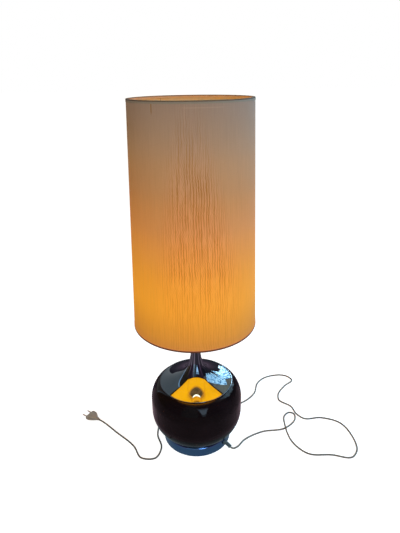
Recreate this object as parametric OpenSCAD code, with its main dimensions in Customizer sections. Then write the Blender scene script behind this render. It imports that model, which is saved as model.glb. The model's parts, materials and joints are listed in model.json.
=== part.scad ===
// Table lamp: a black bowl on a polished foot ring, a mirror cap drawn up into a
// trumpet neck, and a tall, slightly tapered fabric shade held on a screw lampholder.
// Millimetres. +Z is up, the lamp stands on z = 0 and its axis is the Z axis.

/* [Foot] */
// Outer radius of the foot ring
foot_r = 91; // [80:1:100]
// Height of the foot ring's top above the table
foot_h = 27; // [24:1:40]
// Sheet thickness of the foot ring
foot_wall = 1.5; // [1:0.1:3]
// Radius rolled on the foot ring's top edge
foot_edge_r = 3; // [2:0.5:6]
// Thickness of the felt pad
felt_t = 2; // [1:0.5:4]
// Thickness of the cast ballast plate
ballast_t = 20; // [19:0.5:21]

/* [Bowl] */
// Largest radius of the bowl
bowl_r = 120.5; // [112:0.5:130]
// Height of the lower curve, from the foot to the upright band
bowl_lower_h = 67; // [60:1:72]
// Radius of the lower curve in section
bowl_lower_r = 82; // [76:1:90]
// Height of the upright band
bowl_band_h = 34; // [20:1:60]
// Radius of the shoulder in section
bowl_shoulder_r = 70; // [64:1:76]
// How far the shoulder turns in before the lip, in degrees
shoulder_turn = 33; // [28:1:36]
// Radius of the rolled lip in section
bowl_lip_r = 32; // [28:1:36]
// How far the lip turns in at the rim, in degrees
lip_turn = 66; // [62:1:70]
// Wall of the bowl
bowl_wall = 2; // [1.5:0.1:2.4]

/* [Cap and neck] */
// Slope of the cap at its edge, in degrees from the level
edge_slope = 12; // [8:1:16]
// Slope at which the dish passes into the sweep, in degrees
sweep_slope = 36; // [34:0.5:38]
// Radius of the sweep from the dish into the neck
sweep_r = 63.5; // [60:0.5:66]
// Slope at which the sweep passes into the neck, in degrees
neck_slope = 78.5; // [76:0.5:80]
// Radius of the neck where the sweep ends
neck_r = 16; // [15:0.5:17]
// Outer radius of the tube at the top of the neck
tube_r = 9.5; // [8.5:0.1:12]
// Sheet thickness of the cap
cap_wall = 1.5; // [1:0.1:2]
// Radius of the bead round the cap's edge
bead_r = 1.4; // [1:0.1:1.6]
// Depth of the locating skirt below the rim
skirt_depth = 6; // [3:0.5:12]

/* [Lampholder] */
// Outer radius of the lampholder's threaded body
holder_r = 20; // [19:0.1:22]
// Wall of the lampholder's body
holder_wall = 3; // [2.5:0.1:3.4]
// Height of the lampholder's body
holder_body_h = 40; // [36:1:44]
// Height of the lampholder's base
holder_base_h = 26; // [22:1:30]
// Height of the turned cup under the lampholder
cup_h = 6; // [4:0.5:10]
// Thickness of the porcelain insert
insert_t = 6.5; // [5:0.5:9]
// Outer radius of both shade rings
shade_ring_r = 28; // [26:0.5:32]
// Height of the lower shade ring
lower_ring_h = 5; // [4:0.5:8]
// Height of the clamp ring
clamp_ring_h = 8.5; // [6:0.5:12]
// Number of grip grooves round the clamp ring
clamp_grooves = 18; // [8:1:24]
// Radius of the push bar
bar_r = 3; // [2.5:0.1:3.5]
// Travel of the push bar
bar_travel = 6; // [4:0.5:8]

/* [Bulb] */
// Radius of the bulb's globe
globe_r = 30; // [25:0.5:32]
// Length of the bulb from its contact to its crown
bulb_l = 104; // [96:1:112]
// Radius of the bulb's screw cap
bulb_cap_r = 13.1; // [12.8:0.1:13.2]
// Wall of the bulb's glass
glass_wall = 1; // [0.6:0.1:1.5]

/* [Shade] */
// Outer radius of the shade at its lower edge
shade_bottom_r = 150; // [135:1:165]
// Outer radius of the shade at its upper edge
shade_top_r = 132.5; // [120:0.5:160]
// Height of the shade
shade_h = 520; // [450:5:600]
// Height of the shade's lower edge above the table
shade_z = 362; // [350:1:380]
// Height of the carrier plate above the shade's lower edge
carrier_rise = 37; // [25:1:45]
// Thickness of the cloth cover
cover_t = 0.6; // [0.4:0.1:1]
// Thickness of the stiff liner
liner_t = 0.5; // [0.3:0.1:1]
// Radius of the frame wire
wire_r = 2; // [1.5:0.1:2.5]
// Radius of the carrier arms
arm_r = 1.6; // [1.2:0.1:1.7]
// Number of carrier arms
arm_count = 3; // [3:1:4]
// Thickness of the carrier plate
plate_t = 2; // [1.5:0.1:3]
// Thickness of the edge tape
tape_t = 0.5; // [0.3:0.1:1]
// Width of the edge tape on the outside
tape_w = 5; // [4:0.5:12]

/* [Rod and nuts] */
// Outer radius of the threaded rod
rod_r = 5; // [4.5:0.1:5.5]
// Wall of the threaded rod
rod_wall = 1.4; // [1:0.1:1.6]
// Width of the nuts across their corners
nut_corners = 19; // [18:0.5:22]
// Thickness of the nuts
nut_t = 6; // [4:0.5:6]
// Thickness of the washers
washer_t = 1.8; // [1:0.1:2]
// Outer radius of the washers
washer_r = 13; // [12:0.5:15]

/* [Cord and plug] */
// Radius of the cord
cord_r = 2.25; // [2:0.05:2.5]
// Height at which the cord leaves the foot ring
exit_z = 14; // [12:0.5:16]
// Radius of the strain relief at the foot ring
sleeve_r = 5.6; // [5:0.1:6.5]
// Radius of the strain relief at its tip
sleeve_tip_r = 4.2; // [3.2:0.1:4.6]
// Length of the plug's body without its tail
plug_l = 28; // [24:1:34]
// Width of the plug at its face
plug_w = 34; // [32:0.5:36]
// Thickness of the plug
plug_t = 13.6; // [12:0.2:14]
// Length of the plug's tapered tail
plug_tail_l = 11; // [8:1:16]
// Radius of the plug's pins
pin_r = 2; // [1.9:0.05:2.4]
// Length of the plug's pins
pin_l = 19; // [17:0.5:20]
// Distance between the plug's pins
pin_pitch = 18.6; // [17:0.1:19]

/* [Hidden] */
$fn = 96;

// Clearances: a free gap between pieces, a sliding fit, and a glued or pressed joint
gap = 0.3;
slide_fit = 0.1;
seat = 0.05;
// Overlap that lets one cut or joined shape reach past another
over = 1;

// Foot: felt, ballast and ring, from the table up
foot_lift = felt_t / 2;
ballast_r = foot_r - foot_wall - gap;
rod_hole_r = rod_r + gap;
nut_pocket_r = washer_r + over;
nut_pocket_h = nut_t + washer_t + 2;

// Points of an arc in section, from one angle to another
arc_steps = 14;
function arc_points(centre, r, from, to) =
  [
    for (i = [0:arc_steps])
      let (a = from + (to - from) * i / arc_steps) centre + r * [cos(a), sin(a)]
  ];
function backwards(list) = [for (i = [len(list) - 1:-1:0]) list[i]];

// Bowl: centres of its curves, one tangent to the next, and the flat rim with its opening
bowl_z = foot_h;
band_z = bowl_z + bowl_lower_h;
lower_c = [bowl_r - bowl_lower_r, band_z];
shoulder_c = [bowl_r - bowl_shoulder_r, band_z + bowl_band_h];
lip_c = shoulder_c + (bowl_shoulder_r - bowl_lip_r) * [cos(shoulder_turn), sin(shoulder_turn)];
rim_r = lip_c[0] + bowl_lip_r * cos(lip_turn);
rim_z = lip_c[1] + bowl_lip_r * sin(lip_turn);
open_r = rim_r - 2.5;

// Cap: its edge sits in the middle of the bowl's rim, and each curve is tangent to the next
cap_r = (rim_r + open_r) / 2;
cap_z = rim_z + 2 * bead_r - 0.4;
skirt_r = open_r - gap;
function outward(slope) = [sin(slope), cos(slope)];
sweep_in = sweep_r * (sin(neck_slope) - sin(sweep_slope));
dish_r = (cap_r - neck_r - sweep_in) / (sin(sweep_slope) - sin(edge_slope));
dish_c = [cap_r, cap_z] + dish_r * outward(edge_slope);
sweep_c = dish_c + (sweep_r - dish_r) * outward(sweep_slope);
flare_r = (neck_r - tube_r) / (1 - sin(neck_slope));
flare_c = sweep_c + (flare_r - sweep_r) * outward(neck_slope);

// Lampholder, from the carrier plate down to the top of the neck
plate_bottom = shade_z + carrier_rise;
lower_ring_top = plate_bottom - gap;
holder_z = lower_ring_top - lower_ring_h - 9;
base_z = holder_z - holder_base_h;
base_r = holder_r + 1;
tube_top = base_z - cup_h;
clamp_z = plate_bottom + plate_t + gap;
rod_top = base_z + 10;
rod_bottom = felt_t + 1;
insert_top = holder_z + insert_t;
socket_r = bulb_cap_r + gap;
socket_wall = 0.7;

// Push bar: beside the wire way, pushed home to +X in its resting place
bar_y = 10;
bar_z = base_z + 16;
bar_head_t = 3;
bar_head_r = bar_r + 1.2;
bar_half = sqrt(pow(base_r, 2) - pow(bar_y - bar_head_r, 2)) + bar_head_t + 2 * gap + bar_travel / 2;

// Bulb, from its contact up
contact_z = insert_top + 1.5 + gap;
insulator_z = contact_z + 1.5;
cap_bottom = insulator_z + 4;
cap_top = cap_bottom + 19;
globe_z = contact_z + bulb_l - globe_r;
bulb_neck_r = bulb_cap_r - 1;

// Shade: outer radius at a height, and the layers inside it
shade_top = shade_z + shade_h;
function shade_r(z) = shade_bottom_r + (shade_top_r - shade_bottom_r) * (z - shade_z) / shade_h;
skin_t = cover_t + seat + liner_t;
hem_in = skin_t + 2 * seat + 2 * wire_r;
wire_inset = skin_t + seat + wire_r;
arm_start = 90;

// Cord: hand chosen points of its route, from the strain relief's tip to the plug's tail
lay = 2.3;
cord_route = [
  [88, -66, 6.5], [96, -69, 4.5], [104, -65, 3.6], [128, -38, 2.6], [180, -9, lay],
  [250, 4, lay], [286, 47, lay], [285, 61, lay], [272, 67, lay], [261, 59, 2.8],
  [249, 5, 7.6], [258, -50, 3], [290, -91, 2.4], [352, -98, lay], [404, -107, lay],
  [420, -90, lay], [427, -35, lay], [408, 20, lay], [360, 42, lay], [309, 41, lay],
  [293, 60, lay], [284, 92, lay], [252, 126, lay], [254, 146, lay], [284, 192, lay],
  [312, 222, lay], [303, 238, lay], [224, 235, lay], [200, 211, lay], [180, 156, lay],
  [130, 111, lay], [0, 122, lay], [-92, 70, lay], [-110, -10, lay], [-97, -60, lay],
  [-111, -94, lay], [-146, -93, lay], [-171, -52, lay], [-225, 1, 3], [-283, 50, 7.5]
];
cord_sides = 10;
cord_steps = 2;
plug_turn = 146;

// Strain relief: from the foot ring's wall to the first point of the cord
sleeve_tip = cord_route[0];
exit_turn = atan2(sleeve_tip[1], sleeve_tip[0]);
sleeve_run = norm([sleeve_tip[0], sleeve_tip[1]]) - foot_r;
sleeve_drop = exit_z - sleeve_tip[2];
sleeve_tilt = atan2(sleeve_drop, sleeve_run);
sleeve_l = norm([sleeve_run, sleeve_drop]);
sleeve_flange_r = sleeve_r + 1.6;
flange_t = 2;
flange_front = (foot_wall + sleeve_flange_r * sin(sleeve_tilt) + 2 * gap) / cos(sleeve_tilt);
sleeve_inside = flange_front + flange_t;
collar_back = (sleeve_flange_r * sin(sleeve_tilt) + gap) / cos(sleeve_tilt);
collar_front = collar_back + flange_t;
lead_r = cord_r;
lead_start_r = foot_r - sleeve_inside * cos(sleeve_tilt);
lead_z = exit_z + sleeve_inside * sin(sleeve_tilt);

// Polished metal, black enamel and the other colours of the lamp
chrome = [0.36, 0.42, 0.5];
enamel = [0.05, 0.045, 0.05];
bakelite = [0.12, 0.08, 0.06];
brass = [0.75, 0.6, 0.3];
steel = [0.62, 0.63, 0.65];
cloth = [0.86, 0.6, 0.32];
flex = [0.4, 0.4, 0.38];

// Flat washer or ring between two radii
module ring(r_out, r_in, z, h) {
  translate([0, 0, z])
    difference() {
      cylinder(r = r_out, h = h);
      translate([0, 0, -over])
        cylinder(r = r_in, h = h + 2 * over);
    }
}

// Hexagon nut on the rod
module rod_nut(z) {
  translate([0, 0, z])
    difference() {
      cylinder(d = nut_corners, h = nut_t, $fn = 6);
      translate([0, 0, -over])
        cylinder(r = rod_r + seat, h = nut_t + 2 * over);
    }
}

// Turns a shape drawn along +X to leave the foot ring where the cord does
module at_exit() {
  rotate([0, 0, exit_turn])
    translate([foot_r, 0, exit_z])
      rotate([0, sleeve_tilt, 0])
        children();
}

// Round bar along +X
module bar_x(r, from, to) {
  translate([from, 0, 0])
    rotate([0, 90, 0])
      cylinder(r = r, h = to - from);
}

// Felt pad under the foot
module base_felt() {
  color([0.2, 0.22, 0.2])
    cylinder(r = ballast_r - gap, h = felt_t);
}

// Cast ballast with a pocket for the nut and a way for the lead
module ballast() {
  color([0.28, 0.28, 0.29])
    difference() {
      translate([0, 0, felt_t])
        cylinder(r = ballast_r, h = ballast_t);
      translate([0, 0, felt_t - over])
        cylinder(r = rod_hole_r, h = ballast_t + 2 * over);
      translate([0, 0, felt_t - over])
        cylinder(r = nut_pocket_r, h = nut_pocket_h + over);
      rotate([0, 0, exit_turn])
        translate([0, 0, lead_z])
          bar_x(lead_r + 2, 0, foot_r);
      at_exit()
        bar_x(sleeve_flange_r + gap, -sleeve_inside - 4, over);
    }
}

// Section of the foot ring's shape, shrunk all round by an inset
module foot_section(inset) {
  edge = foot_edge_r - inset;
  square([foot_r - foot_edge_r, foot_h - inset]);
  square([foot_r - inset, foot_h - foot_edge_r]);
  translate([foot_r - foot_edge_r, foot_h - foot_edge_r])
    circle(r = edge);
}

// Spun foot ring: an upright wall, a rolled edge and a top plate that carries the bowl
module foot_ring() {
  color(chrome)
    difference() {
      rotate_extrude()
        difference() {
          intersection() {
            foot_section(0);
            translate([0, foot_lift])
              square([foot_r, foot_h]);
          }
          foot_section(foot_wall);
          square([rod_hole_r, foot_h + over]);
        }
      at_exit()
        bar_x(sleeve_r + slide_fit, -2 * sleeve_r, sleeve_r);
    }
}

// Washer and nut in the ballast's pocket, and the pair that holds the bowl down
module bottom_washer() {
  color(steel)
    ring(washer_r, rod_r + seat, felt_t + nut_pocket_h - washer_t, washer_t);
}

module bottom_nut() {
  color(steel)
    rod_nut(felt_t + nut_pocket_h - washer_t - nut_t);
}

module inner_washer() {
  color(steel)
    ring(washer_r, rod_r + seat, bowl_z + bowl_wall, washer_t);
}

module inner_nut() {
  color(steel)
    rod_nut(bowl_z + bowl_wall + washer_t);
}

// Section line of the bowl from its flat bottom up to the lip, moved in by an inset
function bowl_line(inset, lip_end) =
  let (lower_start = -asin((bowl_lower_h - inset) / (bowl_lower_r - inset)))
  concat(
    arc_points(lower_c, bowl_lower_r - inset, lower_start, 0),
    arc_points(shoulder_c, bowl_shoulder_r - inset, 0, shoulder_turn),
    arc_points(lip_c, bowl_lip_r - inset, shoulder_turn + 0.5, lip_end)
  );

// Enamelled bowl with a flat bottom, a rolled lip and a flat rim round its opening
module bowl() {
  inner_end = acos((open_r - lip_c[0]) / (bowl_lip_r - bowl_wall));
  color(enamel)
    rotate_extrude()
      polygon(concat(
        [[rod_hole_r, bowl_z]],
        bowl_line(0, lip_turn),
        [[open_r, rim_z]],
        backwards(bowl_line(bowl_wall, inner_end)),
        [[rod_hole_r, bowl_z + bowl_wall]]
      ));
}

// Section line of the cap from its edge up the dish and the neck to the tube's top, moved in by an inset
function cap_line(inset) =
  concat(
    arc_points(dish_c, dish_r + inset, 270 - edge_slope, 270 - sweep_slope),
    arc_points(sweep_c, sweep_r + inset, 269 - sweep_slope, 270 - neck_slope),
    arc_points(flare_c, flare_r + inset, 269.5 - neck_slope, 180),
    [[tube_r - inset, tube_top]]
  );

// Spun mirror cap: a dish that sweeps up into the trumpet neck, a beaded edge and a locating skirt
module cap() {
  skirt_in = skirt_r - cap_wall;
  flange_out = cap_r + bead_r / 2;
  color(chrome)
    rotate_extrude() {
      polygon(concat(cap_line(0), backwards(cap_line(cap_wall))));
      translate([cap_r, rim_z + bead_r + seat])
        circle(r = bead_r);
      polygon([
        [skirt_in, rim_z - skirt_depth], [skirt_r, rim_z - skirt_depth], [skirt_r, rim_z],
        [flange_out, rim_z], [flange_out, rim_z + bead_r], [skirt_in, rim_z + bead_r]
      ]);
    }
}

// Hollow threaded rod that pulls the whole base together, with a side hole for the lead
module centre_rod() {
  color(steel)
    difference() {
      translate([0, 0, rod_bottom])
        cylinder(r = rod_r, h = rod_top - rod_bottom);
      translate([0, 0, rod_bottom - over])
        cylinder(r = rod_r - rod_wall, h = rod_top - rod_bottom + 2 * over);
      rotate([0, 0, exit_turn])
        translate([0, 0, lead_z])
          bar_x(lead_r + gap, 0, rod_r + over);
    }
}

// Turned cup between the neck and the lampholder
module neck_cup() {
  color(chrome)
    translate([0, 0, tube_top])
      difference() {
        union() {
          cylinder(r1 = tube_r + 2, r2 = base_r - 1, h = cup_h - 2);
          translate([0, 0, cup_h - 2])
            cylinder(r = base_r - 1, h = 2);
        }
        translate([0, 0, -over])
          cylinder(r = rod_r + seat, h = cup_h + 2 * over);
      }
}

// Moulded base of the lampholder, screwed on the rod, with the way of the push bar
module holder_base() {
  shoulder = 4;
  color(bakelite)
    difference() {
      rotate_extrude() {
        translate([0, base_z])
          square([base_r - shoulder, holder_base_h]);
        translate([0, base_z + shoulder])
          square([base_r, holder_base_h - shoulder]);
        translate([base_r - shoulder, base_z + shoulder])
          circle(r = shoulder);
      }
      translate([0, 0, base_z - over])
        cylinder(r = rod_r + seat, h = rod_top - base_z + over);
      translate([0, 0, base_z])
        cylinder(r = rod_r - rod_wall, h = holder_base_h + over);
      translate([0, bar_y, bar_z])
        bar_x(bar_r + slide_fit, -base_r - over, base_r + over);
      translate([0, 0, base_z + 5])
        rotate([0, 0, -90])
          bar_x(1.5 + seat, 0, base_r + over);
    }
}

// Small screw that locks the lampholder on the rod
module lock_screw() {
  color(steel)
    translate([0, 0, base_z + 5])
      rotate([0, 0, -90])
        difference() {
          bar_x(1.5, rod_r + seat, base_r - 0.5);
          translate([base_r - 1.5, -0.3, -2])
            cube([2, 0.6, 4]);
        }
}

// Push bar of the switch, with a head at each end
module switch_bar() {
  color([0.85, 0.82, 0.72])
    translate([bar_travel / 2, bar_y, bar_z]) {
      bar_x(bar_r, -bar_half, bar_half);
      bar_x(bar_head_r, bar_half - bar_head_t, bar_half);
      bar_x(bar_head_r, -bar_half, -bar_half + bar_head_t);
    }
}

// Threaded body of the lampholder
module holder_body() {
  color(bakelite)
    ring(holder_r, holder_r - holder_wall, holder_z, holder_body_h);
}

// Porcelain insert that carries the contacts
module holder_insert() {
  color([0.9, 0.89, 0.85])
    difference() {
      ring(holder_r - holder_wall - seat, lead_r + 0.6, holder_z, insert_t);
      for (side = [-1, 1])
        translate([side * (holder_r - holder_wall - 1.8), 0, insert_top - 4])
          cylinder(r = 1.1 + seat, h = 4 + over);
    }
}

// Two terminal screws in the insert
module terminal_screws() {
  color(brass)
    for (side = [-1, 1])
      translate([side * (holder_r - holder_wall - 1.8), 0, insert_top - 4])
        cylinder(r = 1.1, h = 5);
}

// Screw shell that the bulb turns in
module thread_shell() {
  color(brass)
    ring(socket_r + socket_wall, socket_r, insert_top, 22);
}

// Sprung centre contact under the bulb
module centre_contact() {
  color(brass)
    translate([0, 0, insert_top]) {
      translate([-2.5, -10, 0])
        cube([5, 10, 0.7]);
      cylinder(r = 4, h = 1.5);
    }
}

// Lower shade ring, which the carrier plate rests on
module lower_ring() {
  color(bakelite)
    ring(shade_ring_r - 1, holder_r + seat, lower_ring_top - lower_ring_h, lower_ring_h);
}

// Clamp ring with finger grooves, screwed down over the carrier plate
module clamp_ring() {
  groove_r = 2;
  color(bakelite)
    difference() {
      ring(shade_ring_r, holder_r + gap, clamp_z, clamp_ring_h);
      for (i = [0:clamp_grooves - 1])
        rotate([0, 0, i * 360 / clamp_grooves])
          translate([shade_ring_r + groove_r / 2, 0, clamp_z - over])
            cylinder(r = groove_r, h = clamp_ring_h + 2 * over, $fn = 24);
    }
}

// Bulb: centre contact, black insulator, screw cap and opal glass
module bulb_contact() {
  color(steel)
    translate([0, 0, contact_z])
      cylinder(r = 4.5, h = insulator_z - contact_z);
}

module bulb_insulator() {
  color([0.06, 0.06, 0.07])
    translate([0, 0, insulator_z])
      cylinder(r1 = 6, r2 = bulb_cap_r - 1, h = cap_bottom - insulator_z);
}

module bulb_cap() {
  thread_depth = 0.6;
  thread_pitch = 3.6;
  color(brass)
    difference() {
      translate([0, 0, cap_bottom])
        cylinder(r = bulb_cap_r, h = cap_top - cap_bottom);
      for (i = [1:4])
        ring(bulb_cap_r + over, bulb_cap_r - thread_depth, cap_bottom + i * thread_pitch, thread_pitch / 2);
    }
}

// Section of the bulb's glass: a globe on a flared neck, shrunk by an inset
module glass_section(inset) {
  blend_r = 34;
  blend_z = globe_z - sqrt(pow(globe_r + blend_r, 2) - pow(bulb_neck_r + blend_r, 2));
  touch = globe_r / (globe_r + blend_r);
  touch_r = touch * (bulb_neck_r + blend_r);
  touch_z = globe_z - touch * (globe_z - blend_z);
  intersection() {
    translate([0, globe_z])
      circle(r = globe_r - inset);
    translate([0, globe_z - globe_r])
      square([globe_r, 2 * globe_r]);
  }
  translate([0, cap_top])
    square([bulb_neck_r - inset, blend_z - cap_top + 0.01]);
  difference() {
    translate([0, blend_z])
      square([touch_r, touch_z - blend_z]);
    translate([bulb_neck_r + blend_r, blend_z])
      circle(r = blend_r + inset);
  }
}

module bulb_glass() {
  color([1, 0.95, 0.8])
    rotate_extrude()
      difference() {
        glass_section(0);
        glass_section(glass_wall);
      }
}

// Lower frame ring, its arms and the plate that sits on the lampholder
module shade_carrier() {
  hem_r = shade_r(shade_z) - wire_inset;
  hem_z = shade_z + wire_r + seat;
  plate_r = shade_ring_r + 2;
  plate_mid = plate_bottom + plate_t / 2;
  arm_in = plate_r - 1;
  arm_rise = plate_mid - hem_z;
  arm_tilt = atan2(arm_rise, hem_r - arm_in);
  color(steel)
    difference() {
      union() {
        translate([0, 0, hem_z])
          rotate_extrude()
            translate([hem_r, 0])
              circle(r = wire_r);
        for (i = [0:arm_count - 1])
          rotate([0, 0, arm_start + i * 360 / arm_count])
            translate([hem_r, 0, hem_z])
              rotate([0, 180 + arm_tilt, 0])
                bar_x(arm_r, 0, norm([arm_rise, hem_r - arm_in]));
        translate([0, 0, plate_bottom])
          cylinder(r = plate_r, h = plate_t);
      }
      translate([0, 0, plate_bottom - over])
        cylinder(r = holder_r + 2 * gap, h = plate_t + 2 * over);
    }
}

// Upper frame ring
module shade_top_ring() {
  color(steel)
    translate([0, 0, shade_top - wire_r - seat])
      rotate_extrude()
        translate([shade_r(shade_top) - wire_inset, 0])
          circle(r = wire_r);
}

// One layer of the shade's wall, between two depths under its outer face
module shade_layer(outer, inner) {
  rotate_extrude()
    polygon([
      [shade_bottom_r - inner, shade_z], [shade_bottom_r - outer, shade_z],
      [shade_top_r - outer, shade_top], [shade_top_r - inner, shade_top]
    ]);
}

// Cloth cover of the shade
module shade_cover() {
  color(cloth)
    shade_layer(0, cover_t);
}

// Stiff liner behind the cloth
module shade_liner() {
  color([0.95, 0.75, 0.4])
    shade_layer(cover_t + seat, skin_t);
}

// Section of the tape folded over an edge of the shade: side is 1 at the top and -1 at the bottom
module tape_section(edge_z, side) {
  far_z = edge_z - side * tape_w;
  lip_z = edge_z + side * seat;
  crown_z = lip_z + side * tape_t;
  fold_z = edge_z - side * (2 * wire_r + 1);
  out_r = shade_r(edge_z) + seat;
  far_r = shade_r(far_z) + seat;
  in_r = shade_r(edge_z) - hem_in;
  polygon([
    [far_r, far_z], [far_r + tape_t, far_z], [out_r + tape_t, crown_z], [in_r - tape_t, crown_z],
    [in_r - tape_t, fold_z], [in_r, fold_z], [in_r, lip_z], [out_r, lip_z]
  ]);
}

// Tape over the upper edge
module top_trim() {
  color([0.5, 0.46, 0.42])
    rotate_extrude()
      tape_section(shade_top, 1);
}

// Tape over the lower edge, open where the arms reach the frame ring
module bottom_trim() {
  color([0.6, 0.4, 0.2])
    difference() {
      rotate_extrude()
        tape_section(shade_z, -1);
      for (i = [0:arm_count - 1])
        rotate([0, 0, arm_start + i * 360 / arm_count])
          translate([shade_bottom_r - 3 * hem_in, -wire_r - gap, shade_z + seat])
            cube([3 * hem_in - skin_t, 2 * (wire_r + gap), 4 * wire_r]);
    }
}

// Lead inside the lamp: along the ballast, into the rod and up to the lampholder
module inner_lead() {
  color(flex) {
    rotate([0, 0, exit_turn])
      translate([0, 0, lead_z])
        bar_x(lead_r, 0, lead_start_r - lead_r * sin(sleeve_tilt) - gap);
    translate([0, 0, lead_z])
      sphere(r = lead_r);
    translate([0, 0, lead_z])
      cylinder(r = lead_r, h = insert_top - lead_z);
  }
}

// Tapered strain relief with ribs, held in the foot ring's wall by a flange inside and a collar outside
module strain_relief() {
  ribs = 4;
  rib_start = collar_front + 1;
  rib_pitch = (sleeve_l - rib_start - 1) / ribs;
  rib_w = rib_pitch / 3;
  color([0.25, 0.25, 0.25])
    at_exit()
      difference() {
        union() {
          bar_x(sleeve_r, -sleeve_inside, collar_front);
          bar_x(sleeve_flange_r, -sleeve_inside, -flange_front);
          bar_x(sleeve_flange_r, collar_back, collar_front);
          rotate([0, 90, 0])
            cylinder(r1 = sleeve_r, r2 = sleeve_tip_r, h = sleeve_l);
        }
        for (i = [0:ribs - 1])
          translate([rib_start + i * rib_pitch, 0, 0])
            rotate([0, 90, 0])
              ring(sleeve_r + over, cord_r + 0.9, 0, rib_w);
      }
}

// Route of the cord as one smooth curve through its points
route_last = len(cord_route) - 1;
function chord(i) = norm(cord_route[i + 1] - cord_route[i]);
function heading(i) = (cord_route[i + 1] - cord_route[i]) / chord(i);
sleeve_dir = [
  cos(sleeve_tilt) * cos(exit_turn), cos(sleeve_tilt) * sin(exit_turn), -sin(sleeve_tilt)
];
plug_dir = [cos(plug_turn), sin(plug_turn), 0];
function tangent(i) =
  i == 0 ? sleeve_dir
  : i == route_last ? plug_dir
  : (heading(i - 1) * chord(i) + heading(i) * chord(i - 1)) / (chord(i - 1) + chord(i));
function route_point(i, t) =
  let (h = chord(i), t2 = t * t, t3 = t * t * t)
  (2 * t3 - 3 * t2 + 1) * cord_route[i] + (t3 - 2 * t2 + t) * h * tangent(i)
  + (3 * t2 - 2 * t3) * cord_route[i + 1] + (t3 - t2) * h * tangent(i + 1);
function unit(v) = v / norm(v);
cord_line = [
  for (i = [0:route_last - 1], k = [0:cord_steps - 1]) route_point(i, k / cord_steps),
  cord_route[route_last]
];
function line_dir(j) =
  j == 0 ? sleeve_dir
  : j == len(cord_line) - 1 ? plug_dir
  : unit(cord_line[j + 1] - cord_line[j - 1]);
function cord_ring(j) =
  let (along = line_dir(j), across = unit(cross(along, [0, 0, 1])), over_it = cross(across, along))
  [
    for (s = [0:cord_sides - 1])
      cord_line[j] + cord_r * (across * cos(s * 360 / cord_sides) + over_it * sin(s * 360 / cord_sides))
  ];

// Free cord on the table, one tube along its route
module cord() {
  last_ring = len(cord_line) - 1;
  points = [for (j = [0:last_ring], p = cord_ring(j)) p];
  faces = concat(
    [[for (s = [0:cord_sides - 1]) s]],
    [
      for (j = [0:last_ring - 1], s = [0:cord_sides - 1], half = [0, 1])
        let (a = j * cord_sides + s, b = j * cord_sides + (s + 1) % cord_sides)
        half == 0 ? [a, a + cord_sides, b] : [b, a + cord_sides, b + cord_sides]
    ],
    [[for (s = [cord_sides - 1:-1:0]) last_ring * cord_sides + s]]
  );
  color(flex)
    polyhedron(points = points, faces = faces);
}

// Places a shape drawn from the cord's end along +X
module at_plug() {
  translate(cord_route[route_last])
    rotate([0, 0, plug_turn])
      children();
}

// Flat two-pin plug with a tapered tail
module plug_body() {
  face_x = plug_tail_l + plug_l;
  waist = plug_w * 0.4;
  color([0.62, 0.58, 0.5])
    at_plug() {
      rotate([0, 90, 0])
        cylinder(r1 = cord_r + 1.2, r2 = plug_t / 2 - 1, h = plug_tail_l + 2);
      intersection() {
        translate([0, 0, -plug_t / 2])
          linear_extrude(height = plug_t)
            polygon([
              [plug_tail_l, -waist / 2], [plug_tail_l + plug_l * 0.45, -plug_w / 2 + 2],
              [face_x - 8, -plug_w / 2], [face_x, -plug_w / 2], [face_x, plug_w / 2],
              [face_x - 8, plug_w / 2], [plug_tail_l + plug_l * 0.45, plug_w / 2 - 2],
              [plug_tail_l, waist / 2]
            ]);
        rotate([90, 0, 0])
          translate([0, 0, -plug_w])
            linear_extrude(height = 2 * plug_w)
              polygon([
                [plug_tail_l - 1, -plug_t / 2 + 2], [plug_tail_l + 6, -plug_t / 2], [face_x, -plug_t / 2],
                [face_x, plug_t / 2], [plug_tail_l + 6, plug_t / 2], [plug_tail_l - 1, plug_t / 2 - 2]
              ]);
      }
    }
}

// Two round pins of the plug
module plug_pins() {
  face_x = plug_tail_l + plug_l;
  sleeve_share = 0.5;
  color(brass)
    at_plug()
      for (side = [-1, 1])
        translate([0, side * pin_pitch / 2, 0]) {
          bar_x(pin_r - 0.1, face_x, face_x + pin_l * sleeve_share);
          bar_x(pin_r, face_x + pin_l * sleeve_share, face_x + pin_l - 1);
          translate([face_x + pin_l - 1, 0, 0])
            rotate([0, 90, 0])
              cylinder(r1 = pin_r, r2 = pin_r - 0.8, h = 1);
        }
}

base_felt();
ballast();
foot_ring();
bottom_washer();
bottom_nut();
bowl();
inner_washer();
inner_nut();
cap();
centre_rod();
neck_cup();
holder_base();
lock_screw();
switch_bar();
holder_body();
holder_insert();
terminal_screws();
thread_shell();
centre_contact();
lower_ring();
clamp_ring();
bulb_contact();
bulb_insulator();
bulb_cap();
bulb_glass();
shade_carrier();
shade_top_ring();
shade_cover();
shade_liner();
top_trim();
bottom_trim();
inner_lead();
strain_relief();
cord();
plug_body();
plug_pins();
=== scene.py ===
"""Looks of a table lamp with a tall lit shade, a black bowl and a mirror cap.

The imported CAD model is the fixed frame. Round pieces that carry reflections or cloth are spun again
here as fine meshes over the same sizes, in metres. The cord, its sleeve and its plug are drawn along
their lines. Every other piece keeps its CAD node and gets a procedural material.
"""

import json
import logging
import math
from dataclasses import dataclass
from enum import Enum
from typing import Callable, Iterable, Sequence, Union

import bmesh
import bpy
from mathutils import Matrix, Vector

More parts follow.
